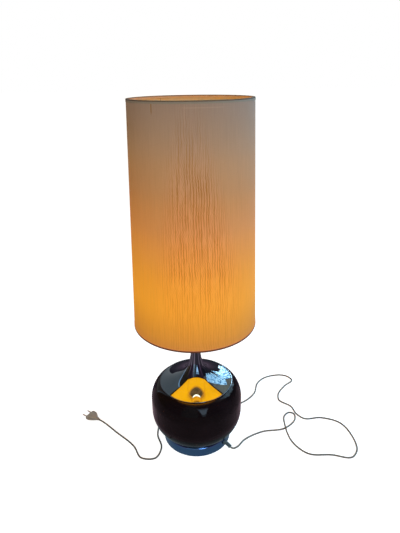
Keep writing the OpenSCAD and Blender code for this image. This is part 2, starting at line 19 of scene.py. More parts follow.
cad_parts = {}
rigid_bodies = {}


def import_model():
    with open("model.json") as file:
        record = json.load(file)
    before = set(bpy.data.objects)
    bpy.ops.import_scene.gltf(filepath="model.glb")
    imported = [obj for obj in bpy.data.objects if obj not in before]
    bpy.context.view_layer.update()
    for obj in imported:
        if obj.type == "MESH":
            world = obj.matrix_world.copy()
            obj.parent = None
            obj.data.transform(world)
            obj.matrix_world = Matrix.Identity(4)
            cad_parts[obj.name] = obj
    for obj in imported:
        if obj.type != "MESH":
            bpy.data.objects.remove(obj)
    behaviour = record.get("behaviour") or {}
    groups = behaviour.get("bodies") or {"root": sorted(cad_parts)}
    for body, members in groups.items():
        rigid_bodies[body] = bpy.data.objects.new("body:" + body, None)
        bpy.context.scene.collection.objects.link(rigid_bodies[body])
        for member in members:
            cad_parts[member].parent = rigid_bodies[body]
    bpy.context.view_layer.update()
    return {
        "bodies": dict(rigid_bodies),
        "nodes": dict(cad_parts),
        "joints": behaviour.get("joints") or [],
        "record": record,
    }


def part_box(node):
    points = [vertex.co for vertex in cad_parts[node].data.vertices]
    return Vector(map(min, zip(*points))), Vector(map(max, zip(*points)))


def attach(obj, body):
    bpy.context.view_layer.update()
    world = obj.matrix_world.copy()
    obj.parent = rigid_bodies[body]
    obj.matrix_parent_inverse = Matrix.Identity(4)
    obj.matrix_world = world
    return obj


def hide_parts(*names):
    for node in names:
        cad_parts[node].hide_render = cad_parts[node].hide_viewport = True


LOG = logging.getLogger("table_lamp")
MM = 0.001
ON_AXIS = 0.1 * MM
SPUN_CREASE = 40.0

Span = tuple[float, float]
Point2 = tuple[float, float]
Point3 = tuple[float, float, float]
Colour = tuple[float, float, float]
Stop = tuple[float, Colour]
Stops = tuple[Stop, ...]
Socket = bpy.types.NodeSocket
Feed = Union[float, Colour, Socket]
Warp = Callable[[float, float, float], float]

WHITE: Colour = (1.0, 1.0, 1.0)
BLACK: Colour = (0.0, 0.0, 0.0)


class Body(str, Enum):
    """The CAD bodies that new pieces ride on."""

    BASE = "base"
    BULB = "bulb"
    SHADE = "shade"


class Gloss(Enum):
    """How smooth a moulded or coated surface is, as a roughness."""

    POLISHED = 0.12
    SATIN = 0.35
    MATTE = 0.6
    DULL = 0.85


# Outlines and meshes


def arc(centre: Point2, radius: float, start: float, end: float, steps: int) -> list[Point2]:
    """Points of an arc in the section plane.

    Args:
        centre: Centre as radius from the axis and height.
        radius: Radius of the arc.
        start: First angle in degrees, from outwards, turning up.
        end: Last angle in degrees.
        steps: Number of equal steps.

    Returns:
        The points from the first angle to the last.
    """
    points = []
    for i in range(steps + 1):
        angle = math.radians(start + (end - start) * i / steps)
        points.append((centre[0] + radius * math.cos(angle), centre[1] + radius * math.sin(angle)))
    return points


def straight(a: Point2, b: Point2, steps: int) -> list[Point2]:
    """Points from a to b in equal steps, both ends included."""
    shares = [i / steps for i in range(steps + 1)]
    return [(a[0] + (b[0] - a[0]) * share, a[1] + (b[1] - a[1]) * share) for share in shares]


def link(name: str, data: bpy.types.ID) -> bpy.types.Object:
    """Puts new data into the scene as an object.

    Args:
        name: Name of the object.
        data: Its mesh, curve, light or camera.

    Returns:
        The object.
    """
    obj = bpy.data.objects.new(name, data)
    bpy.context.scene.collection.objects.link(obj)
    return obj


def soften(mesh: bpy.types.Mesh, crease: float) -> None:
    """Shades a mesh smooth.

    Args:
        mesh: The mesh.
        crease: Edges that bend more than this many degrees stay sharp.
    """
    for polygon in mesh.polygons:
        polygon.use_smooth = True
    mesh.set_sharp_from_angle(angle=math.radians(crease))


def spin(
    name: str, outline: Sequence[Point2], segments: int, warp: Warp | None = None
) -> bpy.types.Object:
    """Spins a closed section round the lamp's axis into a smooth mesh with a cloth map in metres.

    Args:
        name: Name of the object.
        outline: Radius and height of each point of the section.
        segments: Steps round the axis.
        warp: Optional change of radius from angle, radius and height.

    Returns:
        The new object.
    """
    count = len(outline)
    vertices = []
    for k in range(segments):
        angle = 2 * math.pi * k / segments
        for radius, height in outline:
            reach = radius + (warp(angle, radius, height) if warp else 0.0)
            vertices.append((reach * math.cos(angle), reach * math.sin(angle), height))
    along = [0.0]
    for a, b in zip(outline, [*outline[1:], outline[0]]):
        along.append(along[-1] + math.dist(a, b))
    girth = 2 * math.pi * max(radius for radius, _ in outline)
    faces = []
    map_points = []
    for k in range(segments):
        here, there = k * count, (k + 1) % segments * count
        left, right = girth * k / segments, girth * (k + 1) / segments
        for i in range(count):
            j = (i + 1) % count
            low, high = along[i], along[i + 1]
            faces.append((here + i, there + i, there + j, here + j))
            map_points += [(left, low), (right, low), (right, high), (left, high)]
    mesh = bpy.data.meshes.new(name)
    mesh.from_pydata(vertices, [], faces)
    layer = mesh.uv_layers.new(name="cloth_map")
    for loop, point in zip(layer.data, map_points):
        loop.uv = point
    soften(mesh, SPUN_CREASE)
    mesh.update()
    return link(name, mesh)


def loft(name: str, rings: Sequence[Sequence[Vector]], crease: float) -> bpy.types.Object:
    """Skins rings of points and closes both ends.

    Args:
        name: Name of the object.
        rings: Rings of equally many points, in order.
        crease: Edges that bend more than this many degrees stay sharp.

    Returns:
        The new object.
    """
    shape = bmesh.new()
    rows = [[shape.verts.new(point) for point in ring] for ring in rings]
    for a, b in zip(rows, rows[1:]):
        for k in range(len(a)):
            n = (k + 1) % len(a)
            shape.faces.new((a[k], b[k], b[n], a[n]))
    shape.faces.new(rows[0])
    shape.faces.new(list(reversed(rows[-1])))
    bmesh.ops.recalc_face_normals(shape, faces=shape.faces)
    mesh = bpy.data.meshes.new(name)
    shape.to_mesh(mesh)
    shape.free()
    soften(mesh, crease)
    return link(name, mesh)


def place(
    obj: bpy.types.Object, body: Body, slot: str, material: bpy.types.Material, node: str
) -> None:
    """Dresses a new piece, sets it on its body and lets it stand for a CAD node.

    Args:
        obj: The piece.
        body: The CAD body it rides on.
        slot: The record's material slot; not used.
        material: Its material.
        node: The CAD node that it stands for.
    """
    obj.data.materials.clear()
    obj.data.materials.append(material)
    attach(obj, body.value)
    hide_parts(node)
    LOG.info("piece %s on %s", obj.name, body.value)


# Node helpers and shared surface effects


class NodeSheet:
    """A node tree with short ways to add and join nodes."""

    def __init__(self, tree: bpy.types.NodeTree) -> None:
        """Keeps the tree that the nodes go into."""
        self.tree = tree

    def feed(self, socket: Socket, value: Feed) -> None:
        """Links an output to a socket, or sets the socket's own value.

        Args:
            socket: The input socket.
            value: An output socket, a number or a colour.
        """
        if isinstance(value, Socket):
            self.tree.links.new(value, socket)
        elif isinstance(value, tuple) and socket.type == "RGBA":
            socket.default_value = (*value, 1.0)
        else:
            socket.default_value = value

    def fill(self, node: bpy.types.Node, **inputs: Feed) -> bpy.types.Node:
        """Feeds a node's inputs.

        Args:
            node: The node.
            inputs: Values by input name, with underscores for spaces.

        Returns:
            The same node.
        """
        for name, value in inputs.items():
            self.feed(node.inputs[name.replace("_", " ")], value)
        return node

    def node(self, kind: str, **inputs: Feed) -> bpy.types.Node:
        """Adds a node of one of Blender's kinds and feeds its inputs."""
        return self.fill(self.tree.nodes.new(kind), **inputs)

    def sums(self, operation: str, a: Feed, b: Feed = 0.0, clamp: bool = False) -> Socket:
        """Result of a Math node.

        Args:
            operation: Blender's name of the operation.
            a: First value or socket.
            b: Second value or socket.
            clamp: Whether the result is held from 0 to 1.

        Returns:
            The result.
        """
        node = self.tree.nodes.new("ShaderNodeMath")
        node.operation = operation
        node.use_clamp = clamp
        for socket, value in zip(node.inputs, (a, b)):
            self.feed(socket, value)
        return node.outputs[0]

    def plus(self, a: Feed, b: Feed) -> Socket:
        """The sum of a and b."""
        return self.sums("ADD", a, b)

    def times(self, a: Feed, b: Feed) -> Socket:
        """The product of a and b."""
        return self.sums("MULTIPLY", a, b)

    def over(self, a: Feed, b: Feed) -> Socket:
        """The quotient of a and b."""
        return self.sums("DIVIDE", a, b)

    def larger(self, a: Feed, b: Feed) -> Socket:
        """The larger of a and b."""
        return self.sums("MAXIMUM", a, b)

    def apart(self, a: Feed, b: Feed) -> Socket:
        """How far a is from b."""
        return self.sums("ABSOLUTE", self.sums("SUBTRACT", a, b))

    def spread(self, value: Feed, low: float, high: float, to_low: float, to_high: float) -> Socket:
        """Maps a value from one range to another, held to the new range."""
        node = self.node("ShaderNodeMapRange", Value=value, From_Min=low, From_Max=high)
        return self.fill(node, To_Min=to_low, To_Max=to_high).outputs["Result"]

    def rise(self, value: Feed, low: float, high: float) -> Socket:
        """0 up to the low value and 1 from the high one on."""
        return self.spread(value, low, high, 0.0, 1.0)

    def fall(self, value: Feed, low: float, high: float) -> Socket:
        """1 up to the low value and 0 from the high one on."""
        return self.spread(value, low, high, 1.0, 0.0)

    def between(self, mask: Feed, at_none: float, at_full: float) -> Socket:
        """A number that follows a mask from 0 to 1."""
        return self.spread(mask, 0.0, 1.0, at_none, at_full)

    def band(self, value: Feed, middle: float, half: float, soft: float) -> Socket:
        """1 within a half width of a middle value, falling to 0 over a soft edge."""
        return self.fall(self.apart(value, middle), half, half + soft)

    def noise(self, vector: Socket, scale: float, detail: float, rough: float = 0.5) -> Socket:
        """Value of a noise texture."""
        node = self.node("ShaderNodeTexNoise", Vector=vector, Scale=scale, Detail=detail)
        return self.fill(node, Roughness=rough).outputs["Fac"]

    def ramp(self, value: Feed, stops: Stops, smooth: bool = False) -> Socket:
        """Colour of a ramp.

        Args:
            value: Place on the ramp.
            stops: Places and colours of its stops.
            smooth: Whether it runs through the stops without creases.

        Returns:
            The colour there.
        """
        node = self.node("ShaderNodeValToRGB", Fac=value)
        colours = node.color_ramp
        colours.interpolation = "CARDINAL" if smooth else "LINEAR"
        while len(colours.elements) < len(stops):
            colours.elements.new(0.5)
        for element, (position, colour) in zip(colours.elements, stops):
            element.position = position
            element.color = (*colour, 1.0)
        return node.outputs["Color"]

    def mix(self, factor: Feed, a: Feed, b: Feed, blend: str = "MIX") -> Socket:
        """Blend of two colours.

        Args:
            factor: Share of the second colour.
            a: First colour.
            b: Second colour.
            blend: Blender's name of the blend.

        Returns:
            The blended colour.
        """
        node = self.tree.nodes.new("ShaderNodeMix")
        node.data_type = "RGBA"
        node.blend_type = blend
        return self.fill(node, Factor=factor, A=a, B=b).outputs["Result"]

    def tint(self, colour: Feed, tone: Feed) -> Socket:
        """A colour times a tone."""
        return self.mix(1.0, colour, tone, "MULTIPLY")

    def bump(self, height: Socket, strength: float, distance: float) -> Socket:
        """Normal of a Bump node."""
        node = self.node("ShaderNodeBump", Height=height, Strength=strength, Distance=distance)
        return node.outputs["Normal"]

    def split(self, vector: Socket) -> tuple[Socket, Socket, Socket]:
        """The three parts of a vector."""
        return tuple(self.node("ShaderNodeSeparateXYZ", Vector=vector).outputs)

    def flat(self, x: Feed, y: Feed) -> Socket:
        """A vector of two parts."""
        return self.node("ShaderNodeCombineXYZ", X=x, Y=y).outputs[0]

    def scaled(self, vector: Socket, scale: Feed) -> Socket:
        """A vector times a number.

        Args:
            vector: The vector.
            scale: The number.

        Returns:
            The product.
        """
        node = self.node("ShaderNodeVectorMath", Vector=vector)
        node.operation = "SCALE"
        return self.fill(node, Scale=scale).outputs[0]


class EffectGroup(NodeSheet):
    """A shader node group in the making: a map and numbers go in, and numbers come out."""

    def __init__(self, name: str, inputs: Iterable[str], outputs: Iterable[str]) -> None:
        """Starts the group.

        Args:
            name: Name of the group.
            inputs: Names of its numbers, beside the map.
            outputs: Names of what it puts out.
        """
        super().__init__(bpy.data.node_groups.new(name, "ShaderNodeTree"))
        sockets = self.tree.interface
        sockets.new_socket(name="Map", in_out="INPUT", socket_type="NodeSocketVector")
        for label in inputs:
            sockets.new_socket(name=label, in_out="INPUT", socket_type="NodeSocketFloat")
        for label in outputs:
            sockets.new_socket(name=label, in_out="OUTPUT", socket_type="NodeSocketFloat")
        self.given = self.node("NodeGroupInput").outputs
        self.result = self.node("NodeGroupOutput")

    def finished(self, **outputs: Socket) -> bpy.types.NodeTree:
        """Feeds the group's outputs and gives its tree."""
        self.fill(self.result, **outputs)
        return self.tree


class SurfaceEffects:
    """Shader node groups that several materials share."""

    def __init__(self) -> None:
        """Builds each group once."""
        self.weave = self._weave()
        self.threads = self._threads()
        self.handled = self._handled()
        self.grain = self._grain()

    @staticmethod
    def _weave() -> bpy.types.NodeTree:
        """Slubbed cloth: long uneven upright threads, short cross threads and dark slubs.

        Returns:
            The node group.
        """
        cross_stretch = 0.06
        slub_across, slub_along = 0.21, 0.7
        upright_share, cross_share = 0.6, 0.4
        slub_dark = 0.05
        group = EffectGroup("slub_weave", ["Pitch", "Slub Length"], ["Tone", "Height"])
        x, y, _ = group.split(group.given["Map"])
        across = group.over(x, group.given["Pitch"])
        up = group.over(y, group.given["Pitch"])
        along = group.over(y, group.given["Slub Length"])
        upright = group.noise(group.flat(across, along), scale=1.0, detail=2.0, rough=0.6)
        short = group.flat(group.times(across, cross_stretch), up)
        cross = group.noise(short, scale=1.0, detail=1.0)
        broad = group.flat(group.times(across, slub_across), group.times(along, slub_along))
        slub = group.rise(group.noise(broad, scale=1.0, detail=2.0, rough=0.65), 0.56, 0.72)
        threads = group.times(group.rise(upright, 0.3, 0.7), upright_share)
        height = group.plus(threads, group.times(cross, cross_share))
        even = group.spread(height, 0.15, 0.85, 0.93, 1.05)
        tone = group.sums("SUBTRACT", even, group.times(slub, slub_dark))
        return group.finished(Tone=tone, Height=height)

    @staticmethod
    def _threads() -> bpy.types.NodeTree:
        """Thick dark threads: uneven in place, broken in length and a little wavy.

        Returns:
            The node group.
        """
        waves_across, waves_along = 9.0, 3.0
        line_half, line_end = 0.07, 0.27
        thread_step = 3.71
        group = EffectGroup("drawn_threads", ["Pitch", "Length", "Sway"], ["Dark"])
        x, y, _ = group.split(group.given["Map"])
        along = group.over(y, group.given["Length"])
        waves = group.flat(group.times(x, waves_across), group.times(along, waves_along))
        ways = group.noise(waves, scale=1.0, detail=1.0)
        drift = group.times(group.sums("SUBTRACT", ways, 0.5), group.given["Sway"])
        across = group.over(group.plus(x, drift), group.given["Pitch"])
        number = group.sums("FLOOR", across)
        chance = group.tree.nodes.new("ShaderNodeTexWhiteNoise")
        chance.noise_dimensions = "1D"
        group.fill(chance, W=number)
        middle = group.between(chance.outputs["Value"], 0.37, 0.63)
        within = group.sums("SUBTRACT", across, number)
        line = group.fall(group.apart(within, middle), line_half, line_end)
        stretch = group.flat(group.times(number, thread_step), along)
        length = group.rise(group.noise(stretch, scale=1.0, detail=1.0), 0.36, 0.54)
        return group.finished(Dark=group.times(line, length))

    @staticmethod
    def _handled() -> bpy.types.NodeTree:
        """Polish that has been wiped and handled: faint smears, fine wipe lines and dust.

        Returns:
            The node group.
        """
        group = EffectGroup("handled_polish", ["Scale"], ["Smear", "Dust", "Height"])
        near = group.scaled(group.given["Map"], group.given["Scale"])
        smear = group.rise(group.noise(near, scale=1.0, detail=4.0, rough=0.6), 0.4, 0.75)
        dust = group.rise(group.noise(near, scale=34.0, detail=2.0, rough=0.7), 0.66, 0.8)
        wipe = group.noise(near, scale=9.0, detail=5.0, rough=0.75)
        return group.finished(Smear=smear, Dust=dust, Height=wipe)

    @staticmethod
    def _grain() -> bpy.types.NodeTree:
        """Moulded or cast skin: a fine pebble and a slow change of tone.

        Returns:
            The node group.
        """
        group = EffectGroup("moulded_grain", ["Grain Size"], ["Tone", "Height"])
        near = group.scaled(group.given["Map"], group.over(1.0, group.given["Grain Size"]))
        pebble = group.noise(near, scale=1.0, detail=2.0, rough=0.6)
        slow = group.noise(near, scale=0.05, detail=3.0, rough=0.6)
        fine_tone = group.spread(pebble, 0.3, 0.7, 0.92, 1.02)
        tone = group.plus(fine_tone, group.spread(slow, 0.3, 0.7, -0.1, 0.08))
        return group.finished(Tone=tone, Height=pebble)


class Surface(NodeSheet):
    """A material in the making, with one Principled shader."""

    def __init__(self, name: str) -> None:
        """Starts the material.

        Args:
            name: Name of the material.
        """
        self.material = bpy.data.materials.new(name)
        self.material.use_nodes = True
        super().__init__(self.material.node_tree)
        self.tree.nodes.clear()
        self.shader = self.node("ShaderNodeBsdfPrincipled")
        self.node("ShaderNodeOutputMaterial", Surface=self.shader.outputs["BSDF"])

    def give(self, **inputs: Feed) -> None:
        """Feeds the shader's inputs, named with underscores for spaces."""
        self.fill(self.shader, **inputs)

    def lamp_frame(self) -> Socket:
        """Place in the lamp's own frame, in metres."""
        return self.node("ShaderNodeTexCoord").outputs["Object"]

    def cloth_map(self) -> Socket:
        """Place round and along the cloth map, in metres."""
        return self.node("ShaderNodeTexCoord").outputs["UV"]

    def height_share(self, low: float, high: float) -> Socket:
        """Height in the lamp's frame as a share from low to high."""
        return self.rise(self.split(self.lamp_frame())[2], low, high)

    def axis_reach(self, x: Socket, y: Socket) -> Socket:
        """Distance from the lamp's axis."""
        return self.sums("SQRT", self.plus(self.times(x, x), self.times(y, y)))

    def in_mirrors(self) -> Socket:
        """1 where a polished piece shows the surface and 0 elsewhere."""
        return self.node("ShaderNodeLightPath").outputs["Is Glossy Ray"]

    def effect(
        self, group: bpy.types.NodeTree, on_cloth: bool = False, **inputs: Feed
    ) -> bpy.types.bpy_prop_collection:
        """Places a shared effect.

        Args:
            group: The effect's node group.
            on_cloth: Whether it follows the cloth map and not the lamp's own frame.
            inputs: Its numbers by name.

        Returns:
            Its outputs.
        """
        node = self.tree.nodes.new("ShaderNodeGroup")
        node.node_tree = group
        place_on = self.cloth_map() if on_cloth else self.lamp_frame()
        return self.fill(node, Map=place_on, **inputs).outputs


# Finishes


@dataclass(frozen=True)
class Finish:
    """A named finish that can be laid on a new material."""

    name: str

    def build(self, effects: SurfaceEffects) -> bpy.types.Material:
        """Makes the material.

        Args:
            effects: The shared node groups.

        Returns:
            The material.
        """
        surface = Surface(self.name)
        self.dress(surface, effects)
        return surface.material

    def dress(self, surface: Surface, effects: SurfaceEffects) -> None:
        """Lays the finish on a surface, each kind in its own way."""
        raise NotImplementedError


@dataclass(frozen=True)
class DrawnThread:
    """One sort of thick thread in a cloth: distance, length and waviness."""

    pitch: float
    length: float
    sway: float

    def dark(self, surface: Surface, effects: SurfaceEffects) -> Socket:
        """How dark the threads are, from 0 to 1."""
        sizes = {"Pitch": self.pitch, "Length": self.length, "Sway": self.sway}
        return surface.effect(effects.threads, on_cloth=True, **sizes)["Dark"]


@dataclass(frozen=True)
class Weave:
    """Weave of a cloth: distance of its threads and length of its slubs."""

    pitch: float
    slub_length: float

    def lay(self, surface: Surface, effects: SurfaceEffects) -> bpy.types.bpy_prop_collection:
        """Tone and height of the weave."""
        sizes = {"Pitch": self.pitch, "Slub_Length": self.slub_length}
        return surface.effect(effects.weave, on_cloth=True, **sizes)


@dataclass(frozen=True)
class LitCloth(Finish):
    """Slubbed cloth lit from behind, brightest beside the bulb and plain towards the top."""

    low: float
    high: float
    girth: float
    # Colour stops over the height; their orange and loss of blue towards the lower edge are partly
    # painted light and painted shade.
    body: Stops
    glow: Stops
    weave: Weave = Weave(0.9 * MM, 70 * MM)
    weave_relief: float = 0.35
    weave_depth: float = 0.4 * MM
    thick: DrawnThread = DrawnThread(5.6 * MM, 95 * MM, 6 * MM)
    thin: DrawnThread = DrawnThread(3.9 * MM, 30 * MM, 8 * MM)
    thin_share: float = 0.65
    fine_share: float = 0.03
    coarse_shares: Span = (0.3, 0.95)
    coarse_turns: Span = (276.0, 267.0)
    coarse_reach: Span = (116 * MM, 38 * MM)
    coarse_core: float = 0.45
    upper_fade: Span = (0.7, 0.97)
    upper_rest: float = 0.15
    lower_fade: Span = (0.1, 0.36)
    lower_rest: float = 0.28
    thread_tint: Colour = (0.76, 0.61, 0.32)
    thread_light: Colour = (1.12, 1.1, 1.2)
    hem_drop: float = 11.5 * MM
    hem_turns: Span = (264.7, 296.0)
    hem_half: float = 0.5 * MM
    hem_fade: float = 6 * MM
    hem_tone: float = 1.14
    tuck_length: float = 26 * MM
    tuck_half: float = 0.4 * MM
    line_edge: float = 0.7 * MM
    line_fade: float = 8 * MM
    pleat_turn: float = 236.5
    pleat_length: float = 24 * MM
    pleat_half: float = 0.6 * MM
    pleat_edge: float = 1.2 * MM
    sheen_tint: Colour = (1.0, 0.62, 0.3)

    def _around(self, turn: float) -> float:
        """Place on the cloth map of an angle in degrees."""
        return self.girth * turn / 360

    def _coarse(self, surface: Surface, share: Socket) -> Socket:
        """Where the cloth is coarse: one width that narrows upwards and fades towards both edges.

        Args:
            surface: The surface to dress.
            share: Height share from the lower edge to the upper edge.

        Returns:
            The coarseness from 0 to 1.
        """
        round_it = surface.split(surface.cloth_map())[0]
        middles = [self._around(turn) for turn in self.coarse_turns]
        middle = surface.spread(share, *self.coarse_shares, *middles)
        reach = surface.spread(share, *self.coarse_shares, *self.coarse_reach)
        off = surface.over(surface.apart(round_it, middle), reach)
        width = surface.fall(off, self.coarse_core, 1.0)
        upper = surface.spread(share, *self.upper_fade, 1.0, self.upper_rest)
        lower = surface.spread(share, *self.lower_fade, self.lower_rest, 1.0)
        return surface.times(width, surface.times(upper, lower))

    def _threads(self, surface: Surface, effects: SurfaceEffects) -> Socket:
        """How dark the thick and the thin threads are.

        Args:
            surface: The surface to dress.
            effects: The shared node groups.

        Returns:
            The darkness from 0 to 1.
        """
        thick, thin = (sort.dark(surface, effects) for sort in (self.thick, self.thin))
        return surface.sums("ADD", thick, surface.times(thin, self.thin_share), clamp=True)

    def _hem(self, surface: Surface) -> Socket:
        """Faint line of the turned-in hem, with an upright tuck at its end.

        Args:
            surface: The surface to dress.

        Returns:
            The mask from 0 to 1.
        """
        first, last = (self._around(turn) for turn in self.hem_turns)
        round_it, up, _ = surface.split(surface.cloth_map())
        line_at = self.high - self.low - self.hem_drop
        half_tuck = self.tuck_length / 2
        level = surface.band(up, line_at, self.hem_half, self.line_edge)
        within = surface.band(round_it, (first + last) / 2, (last - first) / 2, self.hem_fade)
        upright = surface.band(round_it, first, self.tuck_half, self.line_edge)
        below = surface.band(up, line_at - half_tuck, half_tuck, self.line_fade)
        return surface.larger(surface.times(level, within), surface.times(upright, below))

    def _pleat(self, surface: Surface) -> Socket:
        """Small dark pleat under the upper tape.

        Args:
            surface: The surface to dress.

        Returns:
            The mask from 0 to 1.
        """
        round_it, up, _ = surface.split(surface.cloth_map())
        at = self._around(self.pleat_turn)
        upright = surface.band(round_it, at, self.pleat_half, self.pleat_edge)
        middle = self.high - self.low - self.pleat_length / 2
        return surface.times(
            upright, surface.band(up, middle, self.pleat_length / 4, self.line_fade)
        )

    def dress(self, surface: Surface, effects: SurfaceEffects) -> None:
        """Lays weave, threads, hem and pleat over the cloth's colour and over its glow.

        Args:
            surface: The surface to dress.
            effects: The shared node groups.
        """
        share = surface.height_share(self.low, self.high)
        weave = self.weave.lay(surface, effects)
        coarse = self._coarse(surface, share)
        dark = surface.times(
            self._threads(surface, effects), surface.between(coarse, self.fine_share, 1.0)
        )
        marks = surface.larger(dark, self._pleat(surface))
        ground = surface.mix(coarse, WHITE, self.thread_light)
        threads = surface.mix(marks, ground, self.thread_tint)
        hem = surface.between(self._hem(surface), 1.0, self.hem_tone)
        tone = surface.tint(threads, surface.times(weave["Tone"], hem))
        surface.give(
            Base_Color=surface.tint(surface.ramp(share, self.body, smooth=True), tone),
            Emission_Color=surface.tint(surface.ramp(share, self.glow, smooth=True), tone),
            Emission_Strength=1.0,
            Roughness=0.9,
            Specular_IOR_Level=0.2,
            Sheen_Weight=0.08,
            Sheen_Roughness=0.4,
            Sheen_Tint=self.sheen_tint,
            Normal=surface.bump(weave["Height"], self.weave_relief, self.weave_depth),
        )


@dataclass(frozen=True)
class Lining(Finish):
    """Smooth translucent lining that glows, brighter in the mirrors below than to the eye."""

    low: float
    high: float
    girth: float
    glow: Stops
    mirror_glow: Stops
    mirrored: float
    seam_turn: float
    colour: Colour = (0.25, 0.235, 0.165)
    weave: Weave = Weave(1.6 * MM, 120 * MM)
    seam_half: float = 0.9 * MM
    seam_edge: float = 0.8 * MM
    seam_tone: float = 0.6

    def dress(self, surface: Surface, effects: SurfaceEffects) -> None:
        """Lays the glow on, with a lapped seam that lets less light through.

        Args:
            surface: The surface to dress.
            effects: The shared node groups.
        """
        share = surface.height_share(self.low, self.high)
        weave = self.weave.lay(surface, effects)
        round_it = surface.split(surface.cloth_map())[0]
        seam_at = self.girth * self.seam_turn / 360
        seam = surface.band(round_it, seam_at, self.seam_half, self.seam_edge)
        tone = surface.times(weave["Tone"], surface.between(seam, 1.0, self.seam_tone))
        mirror = surface.in_mirrors()
        to_eye, to_mirror = (surface.ramp(share, stops) for stops in (self.glow, self.mirror_glow))
        surface.give(
            Base_Color=surface.tint(self.colour, tone),
            Emission_Color=surface.tint(surface.mix(mirror, to_eye, to_mirror), tone),
            Emission_Strength=surface.between(mirror, 1.0, self.mirrored),
            Roughness=0.7,
            Normal=surface.bump(weave["Height"], strength=0.2, distance=0.2 * MM),
        )


@dataclass(frozen=True)
class EdgeTape(Finish):
    """Woven tape over an edge of the shade: lit through inside, with painted shade along its outermost
    edge.
    """

    colour: Colour
    glow: Colour
    inner_r: float
    inner_glow: Colour
    # Height, half height and darkness of the painted shade along the outermost edge.
    shaded_edge_z: float
    shaded_edge_h: float
    painted_shade_tone: float
    weave: Weave = Weave(0.7 * MM, 2.2 * MM)
    inner_soft: float = 0.2 * MM
    shaded_edge_soft: float = 0.3 * MM

    def dress(self, surface: Surface, effects: SurfaceEffects) -> None:
        """Lays the weave, the inner glow and the painted shade along the edge on.

        Args:
            surface: The surface to dress.
            effects: The shared node groups.
        """
        weave = self.weave.lay(surface, effects)
        x, y, z = surface.split(surface.lamp_frame())
        reach = surface.axis_reach(x, y)
        inside = surface.fall(reach, self.inner_r, self.inner_r + self.inner_soft)
        # Painted shade: a darker band along the tape's outermost edge.
        edge = surface.band(z, self.shaded_edge_z, self.shaded_edge_h, self.shaded_edge_soft)
        tone = surface.times(weave["Tone"], surface.between(edge, 1.0, self.painted_shade_tone))
        glow = surface.mix(inside, self.glow, self.inner_glow)
        surface.give(
            Base_Color=surface.tint(self.colour, tone),
            Emission_Color=surface.tint(glow, tone),
            Emission_Strength=1.0,
            Roughness=0.9,
            Specular_IOR_Level=0.2,
            Normal=surface.bump(weave["Height"], strength=0.6, distance=0.3 * MM),
        )


@dataclass(frozen=True)
class Polished(Finish):
    """Polished metal with faint smears and wipe lines, some of it lit by the bulb in mirrors."""

    colour: Colour
    shade: Colour
    roughness: float = 0.03
    smear: float = 0.06
    scale: float = 22.0
    lamp_lit: Colour | None = None

    def with_painted_reflections(self, surface: Surface, plain: Socket) -> Socket:
        """The metal's colour with any painted reflections and highlights on it."""
        return plain

    def dress(self, surface: Surface, effects: SurfaceEffects) -> None:
        """Lays the polish on.

        Args:
            surface: The surface to dress.
            effects: The shared node groups.
        """
        worn = surface.effect(effects.handled, Scale=self.scale)
        plain = surface.mix(worn["Smear"], self.colour, self.shade)
        surface.give(
            Base_Color=self.with_painted_reflections(surface, plain),
            Roughness=surface.plus(surface.times(worn["Smear"], self.smear), self.roughness),
            Metallic=1.0,
            Normal=surface.bump(worn["Height"], strength=0.02, distance=0.05 * MM),
        )
        if self.lamp_lit is not None:
            surface.give(Emission_Color=self.lamp_lit, Emission_Strength=surface.in_mirrors())


@dataclass(frozen=True, kw_only=True)
class CapPolish(Polished):
    """Mirror polish of the cap, with painted reflection lines up its neck and a painted highlight on
    part of its bead.
    """

    reflection_low: float
    reflection_high: float
    highlight_r: float
    highlight_rim_soft: float = 0.2 * MM
    # Painted reflections: light lines up the neck, at these turns and widths in degrees from the
    # front, stand in for bright things reflected there.
    reflection_line_colour: Colour = (0.28, 0.33, 0.38)
    reflection_lines: tuple[Span, ...] = (
        (-72.0, 3.0), (-58.0, 2.5), (-40.0, 3.5), (-15.0, 6.0), (31.0, 2.5), (62.0, 3.0), (76.0, 2.5),
    )
    # Painted highlight: a light band on the bead's outer half, at this turn and half width in degrees.
    painted_highlight_colour: Colour = (0.5, 0.55, 0.6)
    highlight_turn: float = 108.0
    highlight_half: float = 26.0
    highlight_soft: float = 14.0

    def _painted_reflection_lines(self, surface: Surface, turn: Socket, height: Socket) -> Socket:
        """Painted reflection lines that run up the neck and fade out over the dish.

        Args:
            surface: The surface to dress.
            turn: Angle from the front in degrees.
            height: Height in the lamp's frame.

        Returns:
            The mask from 0 to 1.
        """
        mask: Feed = 0.0
        for middle, width in self.reflection_lines:
            mask = surface.larger(mask, surface.band(turn, middle, width / 2, width))
        return surface.times(mask, surface.rise(height, self.reflection_low, self.reflection_high))

    def with_painted_reflections(self, surface: Surface, plain: Socket) -> Socket:
        """The polish with its painted reflection lines and the painted highlight on its bead.

        Args:
            surface: The surface to dress.
            plain: Colour of the smeared polish.

        Returns:
            The marked colour.
        """
        x, y, z = surface.split(surface.lamp_frame())
        ahead = surface.times(y, -1.0)
        turn = surface.sums("DEGREES", surface.sums("ARCTAN2", x, ahead))
        # Painted reflection lines on the neck.
        reflection_lined = surface.mix(self._painted_reflection_lines(surface, turn, z), plain, self.reflection_line_colour)
        # Painted highlight on the outer half of the bead, on one side only.
        rim = surface.rise(surface.axis_reach(x, y), self.highlight_r, self.highlight_r + self.highlight_rim_soft)
        side = surface.band(turn, self.highlight_turn, self.highlight_half, self.highlight_soft)
        return surface.mix(surface.times(rim, side), reflection_lined, self.painted_highlight_colour)


